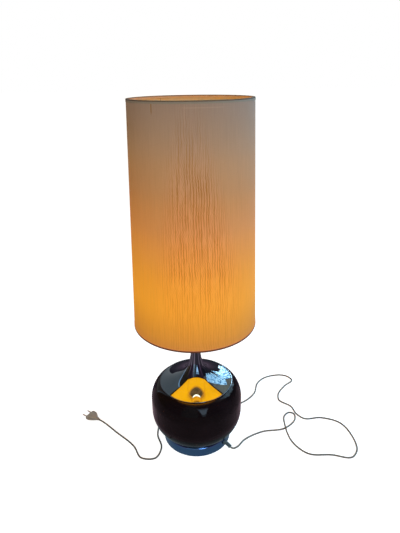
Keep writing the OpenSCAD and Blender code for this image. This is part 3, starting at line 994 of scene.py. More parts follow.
@dataclass(frozen=True)
class Enamel(Finish):
    """Deep glossy enamel with a little dust and soft smears."""

    colour: Colour
    bloom: Colour
    specular: float
    roughness: float = 0.05
    smear: float = 0.05
    dust: float = 0.03
    scale: float = 14.0

    def dress(self, surface: Surface, effects: SurfaceEffects) -> None:
        """Lays the enamel on.

        Args:
            surface: The surface to dress.
            effects: The shared node groups.
        """
        worn = surface.effect(effects.handled, Scale=self.scale)
        smeared = surface.plus(surface.times(worn["Smear"], self.smear), self.roughness)
        surface.give(
            Base_Color=surface.mix(worn["Smear"], self.colour, self.bloom),
            Roughness=surface.plus(smeared, surface.times(worn["Dust"], self.dust)),
            Specular_IOR_Level=self.specular,
            Normal=surface.bump(worn["Height"], strength=0.015, distance=0.05 * MM),
        )


@dataclass(frozen=True)
class Moulded(Finish):
    """Moulded resin, rubber, felt, porcelain or a cord's sheath, some of it lit in mirrors."""

    colour: Colour
    gloss: Gloss
    grain_size: float = 0.5 * MM
    relief: float = 0.25
    second: Colour | None = None
    lamp_lit: Colour | None = None

    def dress(self, surface: Surface, effects: SurfaceEffects) -> None:
        """Lays the skin on, in one colour or in patches of two.

        Args:
            surface: The surface to dress.
            effects: The shared node groups.
        """
        skin = surface.effect(effects.grain, Grain_Size=self.grain_size)
        colour: Feed = self.colour
        if self.second is not None:
            uneven = surface.noise(surface.lamp_frame(), scale=7.0, detail=2.0)
            patch = surface.rise(uneven, 0.5, 0.62)
            colour = surface.mix(patch, self.colour, self.second)
        rough = self.gloss.value
        surface.give(
            Base_Color=surface.tint(colour, skin["Tone"]),
            Roughness=surface.spread(skin["Height"], 0.3, 0.7, rough - 0.05, rough + 0.06),
            Normal=surface.bump(skin["Height"], self.relief, distance=0.1 * MM),
        )
        if self.lamp_lit is not None:
            glow = surface.tint(self.lamp_lit, skin["Tone"])
            surface.give(Emission_Color=glow, Emission_Strength=surface.in_mirrors())


@dataclass(frozen=True)
class Turned(Finish):
    """Plated, pressed or cast metal that isn't a mirror."""

    colour: Colour
    roughness: float
    grain_size: float = 0.6 * MM
    relief: float = 0.1

    def dress(self, surface: Surface, effects: SurfaceEffects) -> None:
        """Lays the metal on.

        Args:
            surface: The surface to dress.
            effects: The shared node groups.
        """
        skin = surface.effect(effects.grain, Grain_Size=self.grain_size)
        rough = self.roughness
        surface.give(
            Base_Color=surface.tint(self.colour, skin["Tone"]),
            Roughness=surface.spread(skin["Height"], 0.3, 0.7, rough - 0.06, rough + 0.1),
            Metallic=1.0,
            Normal=surface.bump(skin["Height"], self.relief, distance=0.1 * MM),
        )


@dataclass(frozen=True)
class Opal(Finish):
    """Lit opal glass, whitest at the globe and warmer at the neck."""

    low: float
    high: float
    strength: float
    mirrored: float
    colour: Colour = (0.9, 0.88, 0.82)
    cloud: float = 3 * MM
    glow: Stops = (
        (0.0, (0.5, 0.3, 0.12)), (0.35, (0.95, 0.75, 0.45)), (0.6, (1.0, 0.86, 0.62)),
        (1.0, (0.95, 0.78, 0.5)),
    )

    def dress(self, surface: Surface, effects: SurfaceEffects) -> None:
        """Lays the glow on.

        Args:
            surface: The surface to dress.
            effects: The shared node groups.
        """
        share = surface.height_share(self.low, self.high)
        skin = surface.effect(effects.grain, Grain_Size=self.cloud)
        surface.give(
            Base_Color=self.colour,
            Emission_Color=surface.tint(surface.ramp(share, self.glow), skin["Tone"]),
            Emission_Strength=surface.between(surface.in_mirrors(), self.strength, self.mirrored),
            Roughness=0.15,
        )


# Camera and studio


@dataclass
class PhotoCamera:
    """Camera at the photograph's place, fitted to the shade's edges, the cap's rim and the foot."""

    place: Point3 = (0.0, -0.99372, 0.92460)
    pitch: float = 22.9158
    roll: float = -0.8093
    pan: float = 0.8328
    focal_px: float = 453.124
    frame_height_px: float = 533.0
    sensor: float = 36.0

    def build(self) -> None:
        """Makes the camera the scene's own."""
        pitch, roll, pan = (math.radians(a) for a in (self.pitch, self.roll, self.pan))
        level = Vector((math.cos(pan), -math.sin(pan), 0.0))
        flat_ahead = Vector((math.sin(pan), math.cos(pan), 0.0))
        ahead = flat_ahead * math.cos(pitch) - Vector((0.0, 0.0, math.sin(pitch)))
        upright = level.cross(ahead)
        right = level * math.cos(roll) + upright * math.sin(roll)
        up = upright * math.cos(roll) - level * math.sin(roll)
        data = bpy.data.cameras.new("photo_camera")
        data.sensor_width = self.sensor
        data.lens = self.focal_px * self.sensor / self.frame_height_px
        camera = link("photo_camera", data)
        turn = Matrix((right, up, -ahead)).transposed().to_4x4()
        camera.matrix_world = Matrix.Translation(self.place) @ turn
        bpy.context.scene.camera = camera


@dataclass
class SoftPanel:
    """A soft studio light that looks at the shade and doesn't show in polished pieces."""

    name: str
    place: Point3
    size: Span
    power: float
    colour: Colour
    aim: Point3 = (0.0, 0.0, 0.6)

    def build(self) -> None:
        """Makes the light."""
        data = bpy.data.lights.new(self.name, "AREA")
        data.shape = "RECTANGLE"
        data.size, data.size_y = self.size
        data.energy = self.power
        data.color = self.colour
        light = link(self.name, data)
        light.location = self.place
        light.rotation_mode = "QUATERNION"
        view = Vector(self.aim) - Vector(self.place)
        light.rotation_quaternion = view.to_track_quat("-Z", "Y")
        light.visible_camera = False
        light.visible_glossy = False


class CardColour(Enum):
    """Colours of the studio cards and table tops, as stops over a slow noise."""

    DARK = ((0.3, (0.07, 0.06, 0.085)), (0.7, (0.16, 0.14, 0.19)))
    PLUM = ((0.3, (0.18, 0.1, 0.16)), (0.7, (0.36, 0.2, 0.32)))
    UMBER = ((0.3, (0.14, 0.08, 0.05)), (0.7, (0.4, 0.26, 0.18)))
    SLATE = ((0.36, (0.16, 0.2, 0.24)), (0.6, (0.6, 0.74, 0.84)))
    CEILING = ((0.35, (1.4, 0.7, 0.2)), (0.65, (3.4, 1.6, 0.56)))
    TABLE = ((0.3, (0.38, 0.26, 0.31)), (0.7, (0.51, 0.36, 0.43)))
    BACK_TABLE = ((0.3, (0.09, 0.065, 0.1)), (0.7, (0.19, 0.14, 0.2)))
    NEAR_TABLE = ((0.3, (0.18, 0.24, 0.27)), (0.7, (0.28, 0.35, 0.38)))
    ROSE = ((0.3, (0.24, 0.15, 0.2)), (0.7, (0.46, 0.3, 0.38)))
    SKY = (
        (0.4, (0.02, 0.05, 0.08)), (0.46, (0.16, 0.36, 0.6)), (0.53, (0.44, 0.74, 0.9)),
        (0.64, (0.78, 0.97, 1.0)),
    )
    HAZE = ((0.35, (1.5, 1.35, 1.1)), (0.65, (2.2, 2.0, 1.5)))
    PALE = ((0.3, (0.42, 0.66, 1.0)), (0.6, (0.62, 0.82, 1.0)))


@dataclass(frozen=True)
class Glow:
    """Uneven glow of a card: its colours, how bright it is and how many patches fit in a metre."""

    colour: CardColour
    strength: float = 1.0
    patches: float = 4.5

    def dress(self, card: bpy.types.Object) -> None:
        """Lays the glow on a card that only polished pieces show, and hides the card from the camera,
        from light and from shadow.

        Args:
            card: The card, which then gives no light and no shadow.
        """
        surface = Surface(card.name)
        uneven = surface.noise(surface.lamp_frame(), self.patches, detail=4.0, rough=0.62)
        surface.give(Base_Color=BLACK, Roughness=1.0, Specular_IOR_Level=0.0)
        surface.give(
            Emission_Color=surface.ramp(uneven, self.colour.value), Emission_Strength=self.strength
        )
        card.data.materials.append(surface.material)
        card.visible_camera = False
        card.visible_diffuse = False
        card.visible_transmission = False
        card.visible_volume_scatter = False
        card.visible_shadow = False


@dataclass
class GlossCard:
    """A studio card on a wide dome round the lamp that only polished pieces show, dark or bright.

    The turn and the rise of its lower and upper edge are degrees round the axis and over the table,
    and so are the widths of the two edges. The waves of a ragged edge each have a share, a number
    round the axis and a start.
    """

    name: str
    glow: Glow
    turn: float
    rise: Span
    width: Span
    lean: float = 0.0
    ragged: float = 0.0
    reach: float = 3.0
    waves: tuple[Point3, ...] = ((0.5, 23, 0), (0.35, 57, 1), (0.3, 101, 2))
    rows: int = 16
    columns: int = 60

    def _uneven(self, turn: float) -> float:
        """Unevenness of the lower edge, in degrees, at a turn in degrees."""
        a = math.radians(turn)
        return self.ragged * sum(share * math.sin(n * a + start) for share, n, start in self.waves)

    def _point(self, share_up: float, share_round: float) -> Point3:
        """Point of the card.

        Args:
            share_up: Share from the lower edge to the upper, from 0 to 1.
            share_round: Share from the middle to either side, from -1 to 1.

        Returns:
            The point in the lamp's frame.
        """
        half = (self.width[0] + (self.width[1] - self.width[0]) * share_up) / 2
        off = half * share_round
        rise = self.rise[0] + (self.rise[1] - self.rise[0]) * share_up + self.lean * off
        rise = math.radians(rise + self._uneven(self.turn + off) * (1 - share_up))
        turn = math.radians(self.turn + off)
        flat = self.reach * math.cos(rise)
        return flat * math.cos(turn), flat * math.sin(turn), self.reach * math.sin(rise)

    def build(self) -> None:
        """Makes the card as a patch of the dome."""
        wide = self.columns + 1
        vertices = [
            self._point(j / self.rows, 2 * i / self.columns - 1)
            for j in range(self.rows + 1)
            for i in range(wide)
        ]
        starts = [j * wide + i for j in range(self.rows) for i in range(self.columns)]
        mesh = bpy.data.meshes.new(self.name)
        mesh.from_pydata(vertices, [], [(k, k + 1, k + wide + 1, k + wide) for k in starts])
        self.glow.dress(link(self.name, mesh))


@dataclass
class TableTop:
    """A round table top, or a sector of it, that only the polished pieces show."""

    name: str
    glow: Glow
    radius: float
    height: float
    turns: Span = (0.0, 360.0)
    steps: int = 96

    def build(self) -> None:
        """Makes the table top as a fan from the lamp's axis."""
        rim = arc((0.0, 0.0), self.radius, *self.turns, self.steps)
        vertices = [(x, y, self.height) for x, y in ((0.0, 0.0), *rim)]
        mesh = bpy.data.meshes.new(self.name)
        mesh.from_pydata(vertices, [], [(0, k + 1, k + 2) for k in range(self.steps)])
        self.glow.dress(link(self.name, mesh))


DARK = Glow(CardColour.DARK)
PLUM = Glow(CardColour.PLUM)
WALL_TOP = 64.0
WALL_FOOT = -40.0


@dataclass
class Studio:
    """Pale floor, pale surroundings and soft light, with cards for the polished pieces."""

    floor_half: float = 30.0
    ambient: float = 0.24
    ambient_colour: Colour = (1.0, 0.88, 0.64)
    floor_colour: Colour = (0.86, 0.86, 0.86)
    floor_lift: float = 0.88
    tables: tuple[TableTop, ...] = (
        TableTop("far_table", Glow(CardColour.TABLE), radius=3.4, height=0.2 * MM),
        TableTop(
            "back_table", Glow(CardColour.BACK_TABLE), radius=3.4, height=0.3 * MM, turns=(40.0, 140.0)
        ),
        TableTop("near_table", Glow(CardColour.NEAR_TABLE), radius=0.14, height=0.4 * MM),
    )
    panels: tuple[SoftPanel, ...] = (
        SoftPanel(
            "right_fill", (2.3, 0.1, 1.1), size=(1.2, 1.6), power=36.0, colour=(0.28, 0.66, 1.0)
        ),
        SoftPanel(
            "left_fill", (-1.5, -1.8, 1.4), size=(1.4, 1.4), power=4.0, colour=(1.0, 0.7, 0.2)
        ),
        SoftPanel(
            "front_fill", (0.15, -2.4, 1.5), size=(1.4, 1.4), power=30.0, colour=(0.74, 0.94, 1.0)
        ),
    )
    cards: tuple[GlossCard, ...] = (
        GlossCard("back_right_dark", DARK, 35.0, (WALL_FOOT, 26.0), (120.0, 120.0), lean=-0.42),
        GlossCard("back_dark", DARK, 94.0, (WALL_FOOT, 17.0), (46.0, 46.0), reach=2.9),
        GlossCard(
            "back_left_dark", DARK, 128.0, (-30.0, 7.0), (66.0, 66.0), lean=-0.28, ragged=2.0
        ),
        GlossCard("left_dark", Glow(CardColour.UMBER), 176.0, (-30.0, WALL_TOP), (50.0, 46.0)),
        GlossCard("left_plum", PLUM, -146.0, (WALL_FOOT, WALL_TOP), (44.0, 44.0)),
        GlossCard(
            "front_slate", Glow(CardColour.SLATE), -106.0, (WALL_FOOT, WALL_TOP), (37.0, 37.0)
        ),
        GlossCard("front_dark", PLUM, -52.0, (WALL_FOOT, WALL_TOP), (72.0, 72.0)),
        GlossCard(
            "right_rose", Glow(CardColour.ROSE), -4.0, (WALL_FOOT, 12.0), (36.0, 36.0), reach=2.8
        ),
        GlossCard(
            "ceiling", Glow(CardColour.CEILING), 0.0, (WALL_TOP, 89.5), (360.0, 360.0), reach=2.9
        ),
        GlossCard(
            "left_line", Glow(CardColour.PALE, 5.0), 151.5, (12.0, 60.0), (2.4, 3.4), reach=2.7
        ),
        GlossCard(
            "window", Glow(CardColour.SKY, 13.0, 9.0), 30.5, (27.7, 49.7), (53.0, 53.0),
            lean=-0.28, ragged=7.0, reach=2.7,
        ),
        GlossCard(
            "window_side", Glow(CardColour.SKY, 17.0, 9.0), 65.5, (13.0, 33.0), (21.0, 15.0),
            ragged=3.0, reach=2.65,
        ),
        GlossCard(
            "right_haze", Glow(CardColour.HAZE), 53.0, (34.0, 60.0), (40.0, 52.0), reach=2.8
        ),
        GlossCard(
            "front_door", Glow(CardColour.PALE, 12.0), -74.0, (12.0, 33.0), (9.0, 24.0), reach=2.7
        ),
        GlossCard(
            "front_door_foot", Glow(CardColour.PALE, 4.0), -74.0, (4.0, 12.0), (7.0, 9.0), reach=2.7
        ),
        GlossCard(
            "front_door_head", Glow(CardColour.PALE, 5.0), -74.0, (33.0, 43.0), (24.0, 32.0), reach=2.7
        ),
    )

    @staticmethod
    def _seen(sheet: NodeSheet) -> Socket:
        """Tells looking from lighting.

        Args:
            sheet: The node tree to add to.

        Returns:
            1 for rays from the camera, in gloss or through glass, and 0 for light.
        """
        path = sheet.node("ShaderNodeLightPath").outputs
        first = sheet.larger(path["Is Camera Ray"], path["Is Glossy Ray"])
        return sheet.larger(first, path["Is Transmission Ray"])

    def _world(self) -> None:
        """White surroundings to the eye and a plain level of light on the object."""
        world = bpy.data.worlds.new("studio")
        world.use_nodes = True
        world.node_tree.nodes.clear()
        sheet = NodeSheet(world.node_tree)
        seen = self._seen(sheet)
        colour = sheet.mix(seen, self.ambient_colour, WHITE)
        strength = sheet.between(seen, self.ambient, 1.0)
        light = sheet.node("ShaderNodeBackground", Color=colour, Strength=strength)
        sheet.node("ShaderNodeOutputWorld", Surface=light.outputs["Background"])
        bpy.context.scene.world = world

    def _floor(self) -> None:
        """A wide pale floor, lifted to white for the eye, that keeps the shadow."""
        h = self.floor_half
        corners = [(-h, -h, 0), (h, -h, 0), (h, h, 0), (-h, h, 0)]
        mesh = bpy.data.meshes.new("floor")
        mesh.from_pydata(corners, [], [(0, 1, 2, 3)])
        surface = Surface("pale_floor")
        lift = surface.times(self._seen(surface), self.floor_lift)
        surface.give(Base_Color=self.floor_colour, Roughness=0.9, Specular_IOR_Level=0.0)
        surface.give(Emission_Color=WHITE, Emission_Strength=lift)
        mesh.materials.append(surface.material)
        link("floor", mesh)

    def build(self) -> None:
        """Makes the surroundings, the floor, the table tops, the lights and the cards."""
        self._world()
        self._floor()
        for piece in (*self.tables, *self.panels, *self.cards):
            piece.build()
        bpy.context.scene.view_settings.view_transform = "Standard"


# Cord, strain relief and plug


@dataclass
class FlexCord:
    """The free cord on the table, from the strain relief's tip to the plug's tail.

    Its radius and length are in metres. Its route is in millimetres, as in the part's source, and
    so are the rest height, the foot's radius and the exit height that go with it.
    """

    radius: float = 2.25 * MM
    length: float = 1.953
    rest_z: float = 2.3
    foot_r: float = 91.0
    exit_z: float = 14.0
    plug_turn: float = 146.0
    steps: int = 8
    bevel_steps: int = 5
    finish: Finish = Moulded(
        "cord_sheath", (0.115, 0.112, 0.105), Gloss.MATTE, grain_size=0.8 * MM, relief=0.3,
        second=(0.15, 0.125, 0.1),
    )

    def route(self) -> list[Point3]:
        """Points of the route.

        Returns:
            The points, in millimetres.
        """
        rest = self.rest_z
        return [
            (88, -66, 6.5), (96, -69, 4.5), (104, -65, 3.6), (128, -38, 2.6), (180, -9, rest),
            (250, 4, rest), (286, 47, rest), (285, 61, rest), (272, 67, rest), (261, 59, 2.8),
            (249, 5, 7.6), (258, -50, 3), (290, -91, 2.4), (352, -98, rest), (404, -107, rest),
            (420, -90, rest), (427, -35, rest), (408, 20, rest), (360, 42, rest), (309, 41, rest),
            (293, 60, rest), (284, 92, rest), (252, 126, rest), (254, 146, rest), (284, 192, rest),
            (312, 222, rest), (303, 238, rest), (224, 235, rest), (200, 211, rest), (180, 156, rest),
            (130, 111, rest), (0, 122, rest), (-92, 70, rest), (-110, -10, rest), (-97, -60, rest),
            (-111, -94, rest), (-146, -93, rest), (-171, -52, rest), (-225, 1, 3), (-283, 50, 7.5),
        ]

    def _directions(self, points: Sequence[Vector], chords: Sequence[float]) -> list[Vector]:
        """Direction of the line at each point.

        Args:
            points: The route's points.
            chords: Distance from each point to the next.

        Returns:
            Along the sleeve at the first point, into the plug at the last, and between its
            neighbours' directions at any other.
        """
        tip = points[0] / MM
        outward = Vector((tip.x, tip.y, 0))
        run = outward.length - self.foot_r
        first = outward.normalized() * run - Vector((0, 0, self.exit_z - tip.z))
        heads = [(b - a) / chord for a, b, chord in zip(points, points[1:], chords)]
        directions = [first.normalized()]
        for before, after, near, far in zip(heads, heads[1:], chords, chords[1:]):
            directions.append((before * far + after * near) / (near + far))
        turn = math.radians(self.plug_turn)
        directions.append(Vector((math.cos(turn), math.sin(turn), 0)))
        return directions

    def line(self) -> list[Vector]:
        """Smooth cubic line through the route's points.

        Returns:
            Points of the centreline, in metres.
        """
        points = [Vector(point) * MM for point in self.route()]
        chords = [(b - a).length for a, b in zip(points, points[1:])]
        directions = self._directions(points, chords)
        line = []
        for i, chord in enumerate(chords):
            for k in range(self.steps):
                t = k / self.steps
                at_end = 3 * t**2 - 2 * t**3
                middle = (1 - at_end) * points[i] + at_end * points[i + 1]
                bend = (t**3 - 2 * t**2 + t) * directions[i] + (t**3 - t**2) * directions[i + 1]
                line.append(middle + bend * chord)
        line.append(points[-1])
        return line

    def build(self, effects: SurfaceEffects) -> bpy.types.Object:
        """Makes the cord as one curve with a round section.

        Args:
            effects: The shared node groups.

        Returns:
            The cord.
        """
        data = bpy.data.curves.new("flex_cord", "CURVE")
        data.dimensions = "3D"
        data.bevel_depth = self.radius
        data.bevel_resolution = self.bevel_steps
        data.use_fill_caps = True
        line = self.line()
        spline = data.splines.new("POLY")
        spline.points.add(len(line) - 1)
        for point, place_at in zip(spline.points, line):
            point.co = (*place_at, 1.0)
        spline.use_smooth = True
        cord = link("flex_cord", data)
        place(cord, Body.BASE, "cord_sheath", self.finish.build(effects), "cord")
        return cord


@dataclass
class FlatPlug:
    """Flat two-pin plug at the cord's far end, with a round tail, full flanks and finger hollows."""

    end: Point3 = (-283 * MM, 50 * MM, 7.5 * MM)
    turn: float = 146.0
    tail: float = 11 * MM
    length: float = 28 * MM
    width: float = 34 * MM
    thickness: float = 13.6 * MM
    tail_power: float = 2.0
    body_power: float = 3.2
    around: int = 40
    crease: float = 50.0
    pin_pitch: float = 18.6 * MM
    pin_length: float = 19 * MM
    pin_radius: float = 2 * MM
    pin_step: float = 0.1 * MM
    pin_tip: float = 1.4 * MM
    body_finish: Finish = Moulded("plug_resin", (0.36, 0.31, 0.27), Gloss.SATIN, relief=0.3)
    pin_finish: Finish = Turned("pin_plate", (0.62, 0.58, 0.5), roughness=0.25)

    def _sections(self) -> list[Point3]:
        """Sections of the body from its tail to its face.

        Returns:
            Place along the plug, half width and half thickness of each section.
        """
        tail, full = self.tail, self.tail + self.length
        half_w, half_t = self.width / 2, self.thickness / 2
        return [
            (0.0, 3.2 * MM, 3.2 * MM),
            (0.25 * tail, 3.7 * MM, 3.7 * MM),
            (0.55 * tail, 4.5 * MM, 4.4 * MM),
            (0.85 * tail, 5.6 * MM, 5.2 * MM),
            (tail + 1.5 * MM, 7.2 * MM, 5.9 * MM),
            (tail + 5 * MM, 9.6 * MM, half_t - 0.4 * MM),
            (tail + 9 * MM, 12.6 * MM, half_t - 0.9 * MM),
            (tail + 13 * MM, 14.8 * MM, half_t - 0.9 * MM),
            (tail + 17 * MM, half_w - 0.8 * MM, half_t - 0.3 * MM),
            (tail + 21 * MM, half_w - 0.1 * MM, half_t),
            (full - 1.6 * MM, half_w, half_t),
            (full - 0.4 * MM, half_w - 0.5 * MM, half_t - 0.5 * MM),
            (full, half_w - 1.6 * MM, half_t - 1.6 * MM),
        ]

    def _frame(self) -> Matrix:
        """Turns a shape drawn along +X to the plug's place."""
        return Matrix.Translation(self.end) @ Matrix.Rotation(math.radians(self.turn), 4, "Z")

    def _ring(self, x: float, half_w: float, half_t: float) -> list[Vector]:
        """Rounded section of the body.

        Args:
            x: Place along the plug.
            half_w: Half width there.
            half_t: Half thickness there.

        Returns:
            The section's points in the lamp's frame.
        """
        power = 2 / (self.tail_power if x < self.tail else self.body_power)
        points = []
        for k in range(self.around):
            angle = 2 * math.pi * k / self.around
            c, s = math.cos(angle), math.sin(angle)
            y = half_w * math.copysign(abs(c) ** power, c)
            z = half_t * math.copysign(abs(s) ** power, s)
            points.append(self._frame() @ Vector((x, y, z)))
        return points

    def _pin(self, name: str, side: int) -> bpy.types.Object:
        """One pin: a sleeved root, a bare end and a rounded tip.

        Args:
            name: Name of the pin.
            side: 1 or -1 for the side of the plug's middle.

        Returns:
            The pin.
        """
        r, full, tip = self.pin_radius, self.pin_length, self.pin_tip
        root_r, half = r - self.pin_step, full / 2
        outline = [(ON_AXIS, 0.0), (root_r, 0.0), (root_r, half), (r, half), (r, full - tip)]
        outline += arc((r - tip, full - tip), tip, 8, 90, 6)
        outline.append((ON_AXIS, full))
        pin = spin(name, outline, segments=32)
        lie = Matrix.Rotation(math.radians(90), 4, "Y")
        shift = Matrix.Translation((self.tail + self.length, side * self.pin_pitch / 2, 0))
        pin.data.transform(self._frame() @ shift @ lie)
        return pin

    def build(self, effects: SurfaceEffects) -> list[bpy.types.Object]:
        """Makes the plug.

        Args:
            effects: The shared node groups.

        Returns:
            The plug's pieces.
        """
        shell = loft("plug_shell", [self._ring(*row) for row in self._sections()], self.crease)
        place(shell, Body.BASE, "plug_plastic", self.body_finish.build(effects), "plug_body")
        metal = self.pin_finish.build(effects)
        pins = [self._pin("plug_pin_left", 1), self._pin("plug_pin_right", -1)]
        for pin in pins:
            place(pin, Body.BASE, "pin_metal", metal, "plug_pins")
        return [shell, *pins]


@dataclass
class Sleeve:
    """Ribbed rubber strain relief that leaves the foot ring level and droops to the cord."""

    foot_r: float = 91 * MM
    exit_z: float = 14 * MM
    tip: Point3 = (88 * MM, -66 * MM, 6.5 * MM)
    sunk: float = 1 * MM
    bend_out: float = 11 * MM
    bend_drop: float = 0.6 * MM
    root_r: float = 5.9 * MM
    tip_r: float = 5.2 * MM
    collar_r: float = 7.2 * MM
    collar_span: Span = (0.13, 0.24)
    collar_power: float = 0.35
    ribs: int = 4
    rib_gap: float = 0.04
    ribs_end: float = 0.9
    groove: float = 1.1 * MM
    groove_power: float = 0.6
    tip_start: float = 0.95
    tip_round: float = 1.2 * MM
    steps: int = 90
    around: int = 40
    crease: float = 55.0
    finish: Finish = Moulded(
        "sleeve_rubber", (0.1, 0.104, 0.106), Gloss.MATTE, grain_size=0.7 * MM, relief=0.3,
        second=(0.07, 0.095, 0.1),
    )

    def _girth(self, share: float) -> float:
        """Radius at a share of the length: collar, ribs and a blunt rounded tip.

        Args:
            share: Share of the length from the root.

        Returns:
            The radius there.
        """
        start, end = self.collar_span
        if start <= share <= end:
            bulge = math.sin(math.pi * (share - start) / (end - start))
            return self.root_r + (self.collar_r - self.root_r) * bulge**self.collar_power
        plain = self.root_r + (self.tip_r - self.root_r) * share
        ribs_start = end + self.rib_gap
        if ribs_start < share < self.ribs_end:
            phase = (share - ribs_start) / (self.ribs_end - ribs_start) * self.ribs
            plain -= self.groove * max(0.0, math.sin(2 * math.pi * phase)) ** self.groove_power
        if share > self.tip_start:
            plain -= self.tip_round * ((share - self.tip_start) / (1 - self.tip_start)) ** 2
        return plain

    def build(self, effects: SurfaceEffects) -> bpy.types.Object:
        """Makes the sleeve along its drooping line.

        Args:
            effects: The shared node groups.

        Returns:
            The sleeve.
        """
        tip = Vector(self.tip)
        out = Vector((tip.x, tip.y, 0)).normalized()
        up = Vector((0, 0, 1))
        root = out * (self.foot_r - self.sunk) + up * self.exit_z
        bend = out * (self.foot_r + self.bend_out) + up * (self.exit_z - self.bend_drop)
        side = out.cross(up).normalized()
        turns = [2 * math.pi * i / self.around for i in range(self.around)]
        rings = []
        for k in range(self.steps + 1):
            t = k / self.steps
            middle = (1 - t) ** 2 * root + 2 * t * (1 - t) * bend + t**2 * tip
            ahead = ((1 - t) * (bend - root) + t * (tip - bend)).normalized()
            rise = side.cross(ahead)
            girth = self._girth(t)
            rings.append([middle + girth * (side * math.cos(a) + rise * math.sin(a)) for a in turns])
        sleeve = loft("cord_sleeve", rings, self.crease)
        place(sleeve, Body.BASE, "sleeve_rubber", self.finish.build(effects), "strain_relief")
        return sleeve


# Base


@dataclass
class FeltPad:
    """Dense felt under the ballast, with a soft cut edge."""

    edge: float = 0.5 * MM
    core_r: float = 20 * MM
    ragged: float = 0.12 * MM
    nibs: Span = (31, 17)
    finish: Finish = Moulded(
        "dark_felt", (0.05, 0.055, 0.05), Gloss.DULL, grain_size=0.9 * MM, relief=0.8
    )

    def build(self, effects: SurfaceEffects) -> None:
        """Makes the pad in the CAD pad's place.

        Args:
            effects: The shared node groups.
        """
        low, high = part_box("base_felt")
        r, e = high.x, self.edge
        flat_r = r - 3 * e

        def worn(angle: float, radius: float, height: float) -> float:
            """Uneven cut of the edge."""
            waves = 1 + math.sin(self.nibs[0] * angle) * math.sin(self.nibs[1] * angle + 1)
            return -self.ragged * waves if radius > r - 2 * e else 0.0

        outline = [(ON_AXIS, low.z), *straight((self.core_r, low.z), (flat_r, low.z), 8)]
        outline += arc((r - e, low.z + e), e, -90, 0, 5) + arc((r - e, high.z - e), e, 0, 90, 5)
        outline += [*straight((flat_r, high.z), (self.core_r, high.z), 8), (ON_AXIS, high.z)]
        pad = spin("felt_pad", outline, segments=180, warp=worn)
        place(pad, Body.BASE, "felt", self.finish.build(effects), "base_felt")


@dataclass
class Foot:
    """Spun foot ring with a rolled top edge."""

    radius: float = 91 * MM
    height: float = 27 * MM
    lift: float = 1 * MM
    wall: float = 1.5 * MM
    edge: float = 3 * MM
    curl: float = 0.4 * MM
    below_edge: float = 0.2 * MM
    hole: float = 5.3 * MM
    # The chrome's dark blue tint is a painted reflection of the bluish floor round the lamp.
    finish: Finish = Polished(
        "painted_blue_reflection_polish", (0.1, 0.19, 0.34), (0.07, 0.14, 0.3), roughness=0.12, smear=0.08
    )

    def build(self, effects: SurfaceEffects) -> None:
        """Makes the ring.

        Args:
            effects: The shared node groups.
        """
        r, top, e, w, curl = self.radius, self.height, self.edge, self.wall, self.curl
        outline = arc((r - curl, self.lift + curl), curl, -90, 0, 6)
        outline += straight((r, self.lift + 2 * curl), (r, top - e - self.below_edge), 8)
        outline += arc((r - e, top - e), e, 0, 90, 16)
        outline += [(r - 2 * e, top), (self.hole, top), (self.hole, top - w), (r - 2 * e, top - w)]
        outline += arc((r - e, top - e), e - w, 90, 0, 8)
        outline.append((r - w, self.lift))
        ring = spin("foot_band", outline, segments=240)
        place(ring, Body.BASE, "blue_chrome", self.finish.build(effects), "foot_ring")


@dataclass
class Bowl:
    """Enamelled bowl from its flat bottom over a shoulder and a rolled lip to its flat rim."""

    bottom: float = 27 * MM
    radius: float = 120.5 * MM
    lower_h: float = 67 * MM
    lower_r: float = 82 * MM
    band_h: float = 34 * MM
    band_gap: float = 1 * MM
    shoulder_r: float = 70 * MM
    shoulder_turn: float = 33.0
    lip_r: float = 32 * MM
    lip_turn: float = 66.0
    rim_w: float = 2.5 * MM
    wall: float = 2 * MM
    hole: float = 5.3 * MM
    finish: Finish = Enamel(
        "black_enamel", (0.005, 0.0032, 0.0038), (0.009, 0.005, 0.0064), specular=0.068
    )

    def __post_init__(self) -> None:
        """Works out the centres of the curves, each tangent to the next, and the rim."""
        self.band = self.bottom + self.lower_h
        self.shoulder = (self.radius - self.shoulder_r, self.band + self.band_h)
        turn, end = math.radians(self.shoulder_turn), math.radians(self.lip_turn)
        step = self.shoulder_r - self.lip_r
        self.lip = (
            self.shoulder[0] + step * math.cos(turn), self.shoulder[1] + step * math.sin(turn)
        )
        self.rim_r = self.lip[0] + self.lip_r * math.cos(end)
        self.rim_z = self.lip[1] + self.lip_r * math.sin(end)
        self.open_r = self.rim_r - self.rim_w

    def _side(self, inset: float, lip_end: float) -> list[Point2]:
        """Line of the wall from the bottom's edge to the lip's end.

        Args:
            inset: How far the line is moved in.
            lip_end: Last angle of the lip's curve in degrees.

        Returns:
            The line's points.
        """
        low_r, wide = self.lower_r - inset, self.radius - inset
        low = math.degrees(math.asin((self.lower_h - inset) / low_r))
        band_low, band_high = self.band + self.band_gap, self.shoulder[1] - self.band_gap
        line = arc((self.radius - self.lower_r, self.band), low_r, -low, 0, 40)
        line += straight((wide, band_low), (wide, band_high), 6)
        line += arc(self.shoulder, self.shoulder_r - inset, 0, self.shoulder_turn, 40)
        line += arc(self.lip, self.lip_r - inset, self.shoulder_turn, lip_end, 28)[1:]
        return line

    def build(self, effects: SurfaceEffects) -> None:
        """Makes the bowl.

        Args:
            effects: The shared node groups.
        """
        lip_reach = (self.open_r - self.lip[0]) / (self.lip_r - self.wall)
        inner = self._side(self.wall, math.degrees(math.acos(lip_reach)))
        outline = [(self.hole, self.bottom), *self._side(0.0, self.lip_turn)]
        outline += [(self.open_r, self.rim_z), *reversed(inner)]
        outline.append((self.hole, self.bottom + self.wall))
        bowl = spin("enamel_bowl", outline, segments=300)
        place(bowl, Body.BASE, "black_enamel", self.finish.build(effects), "bowl")


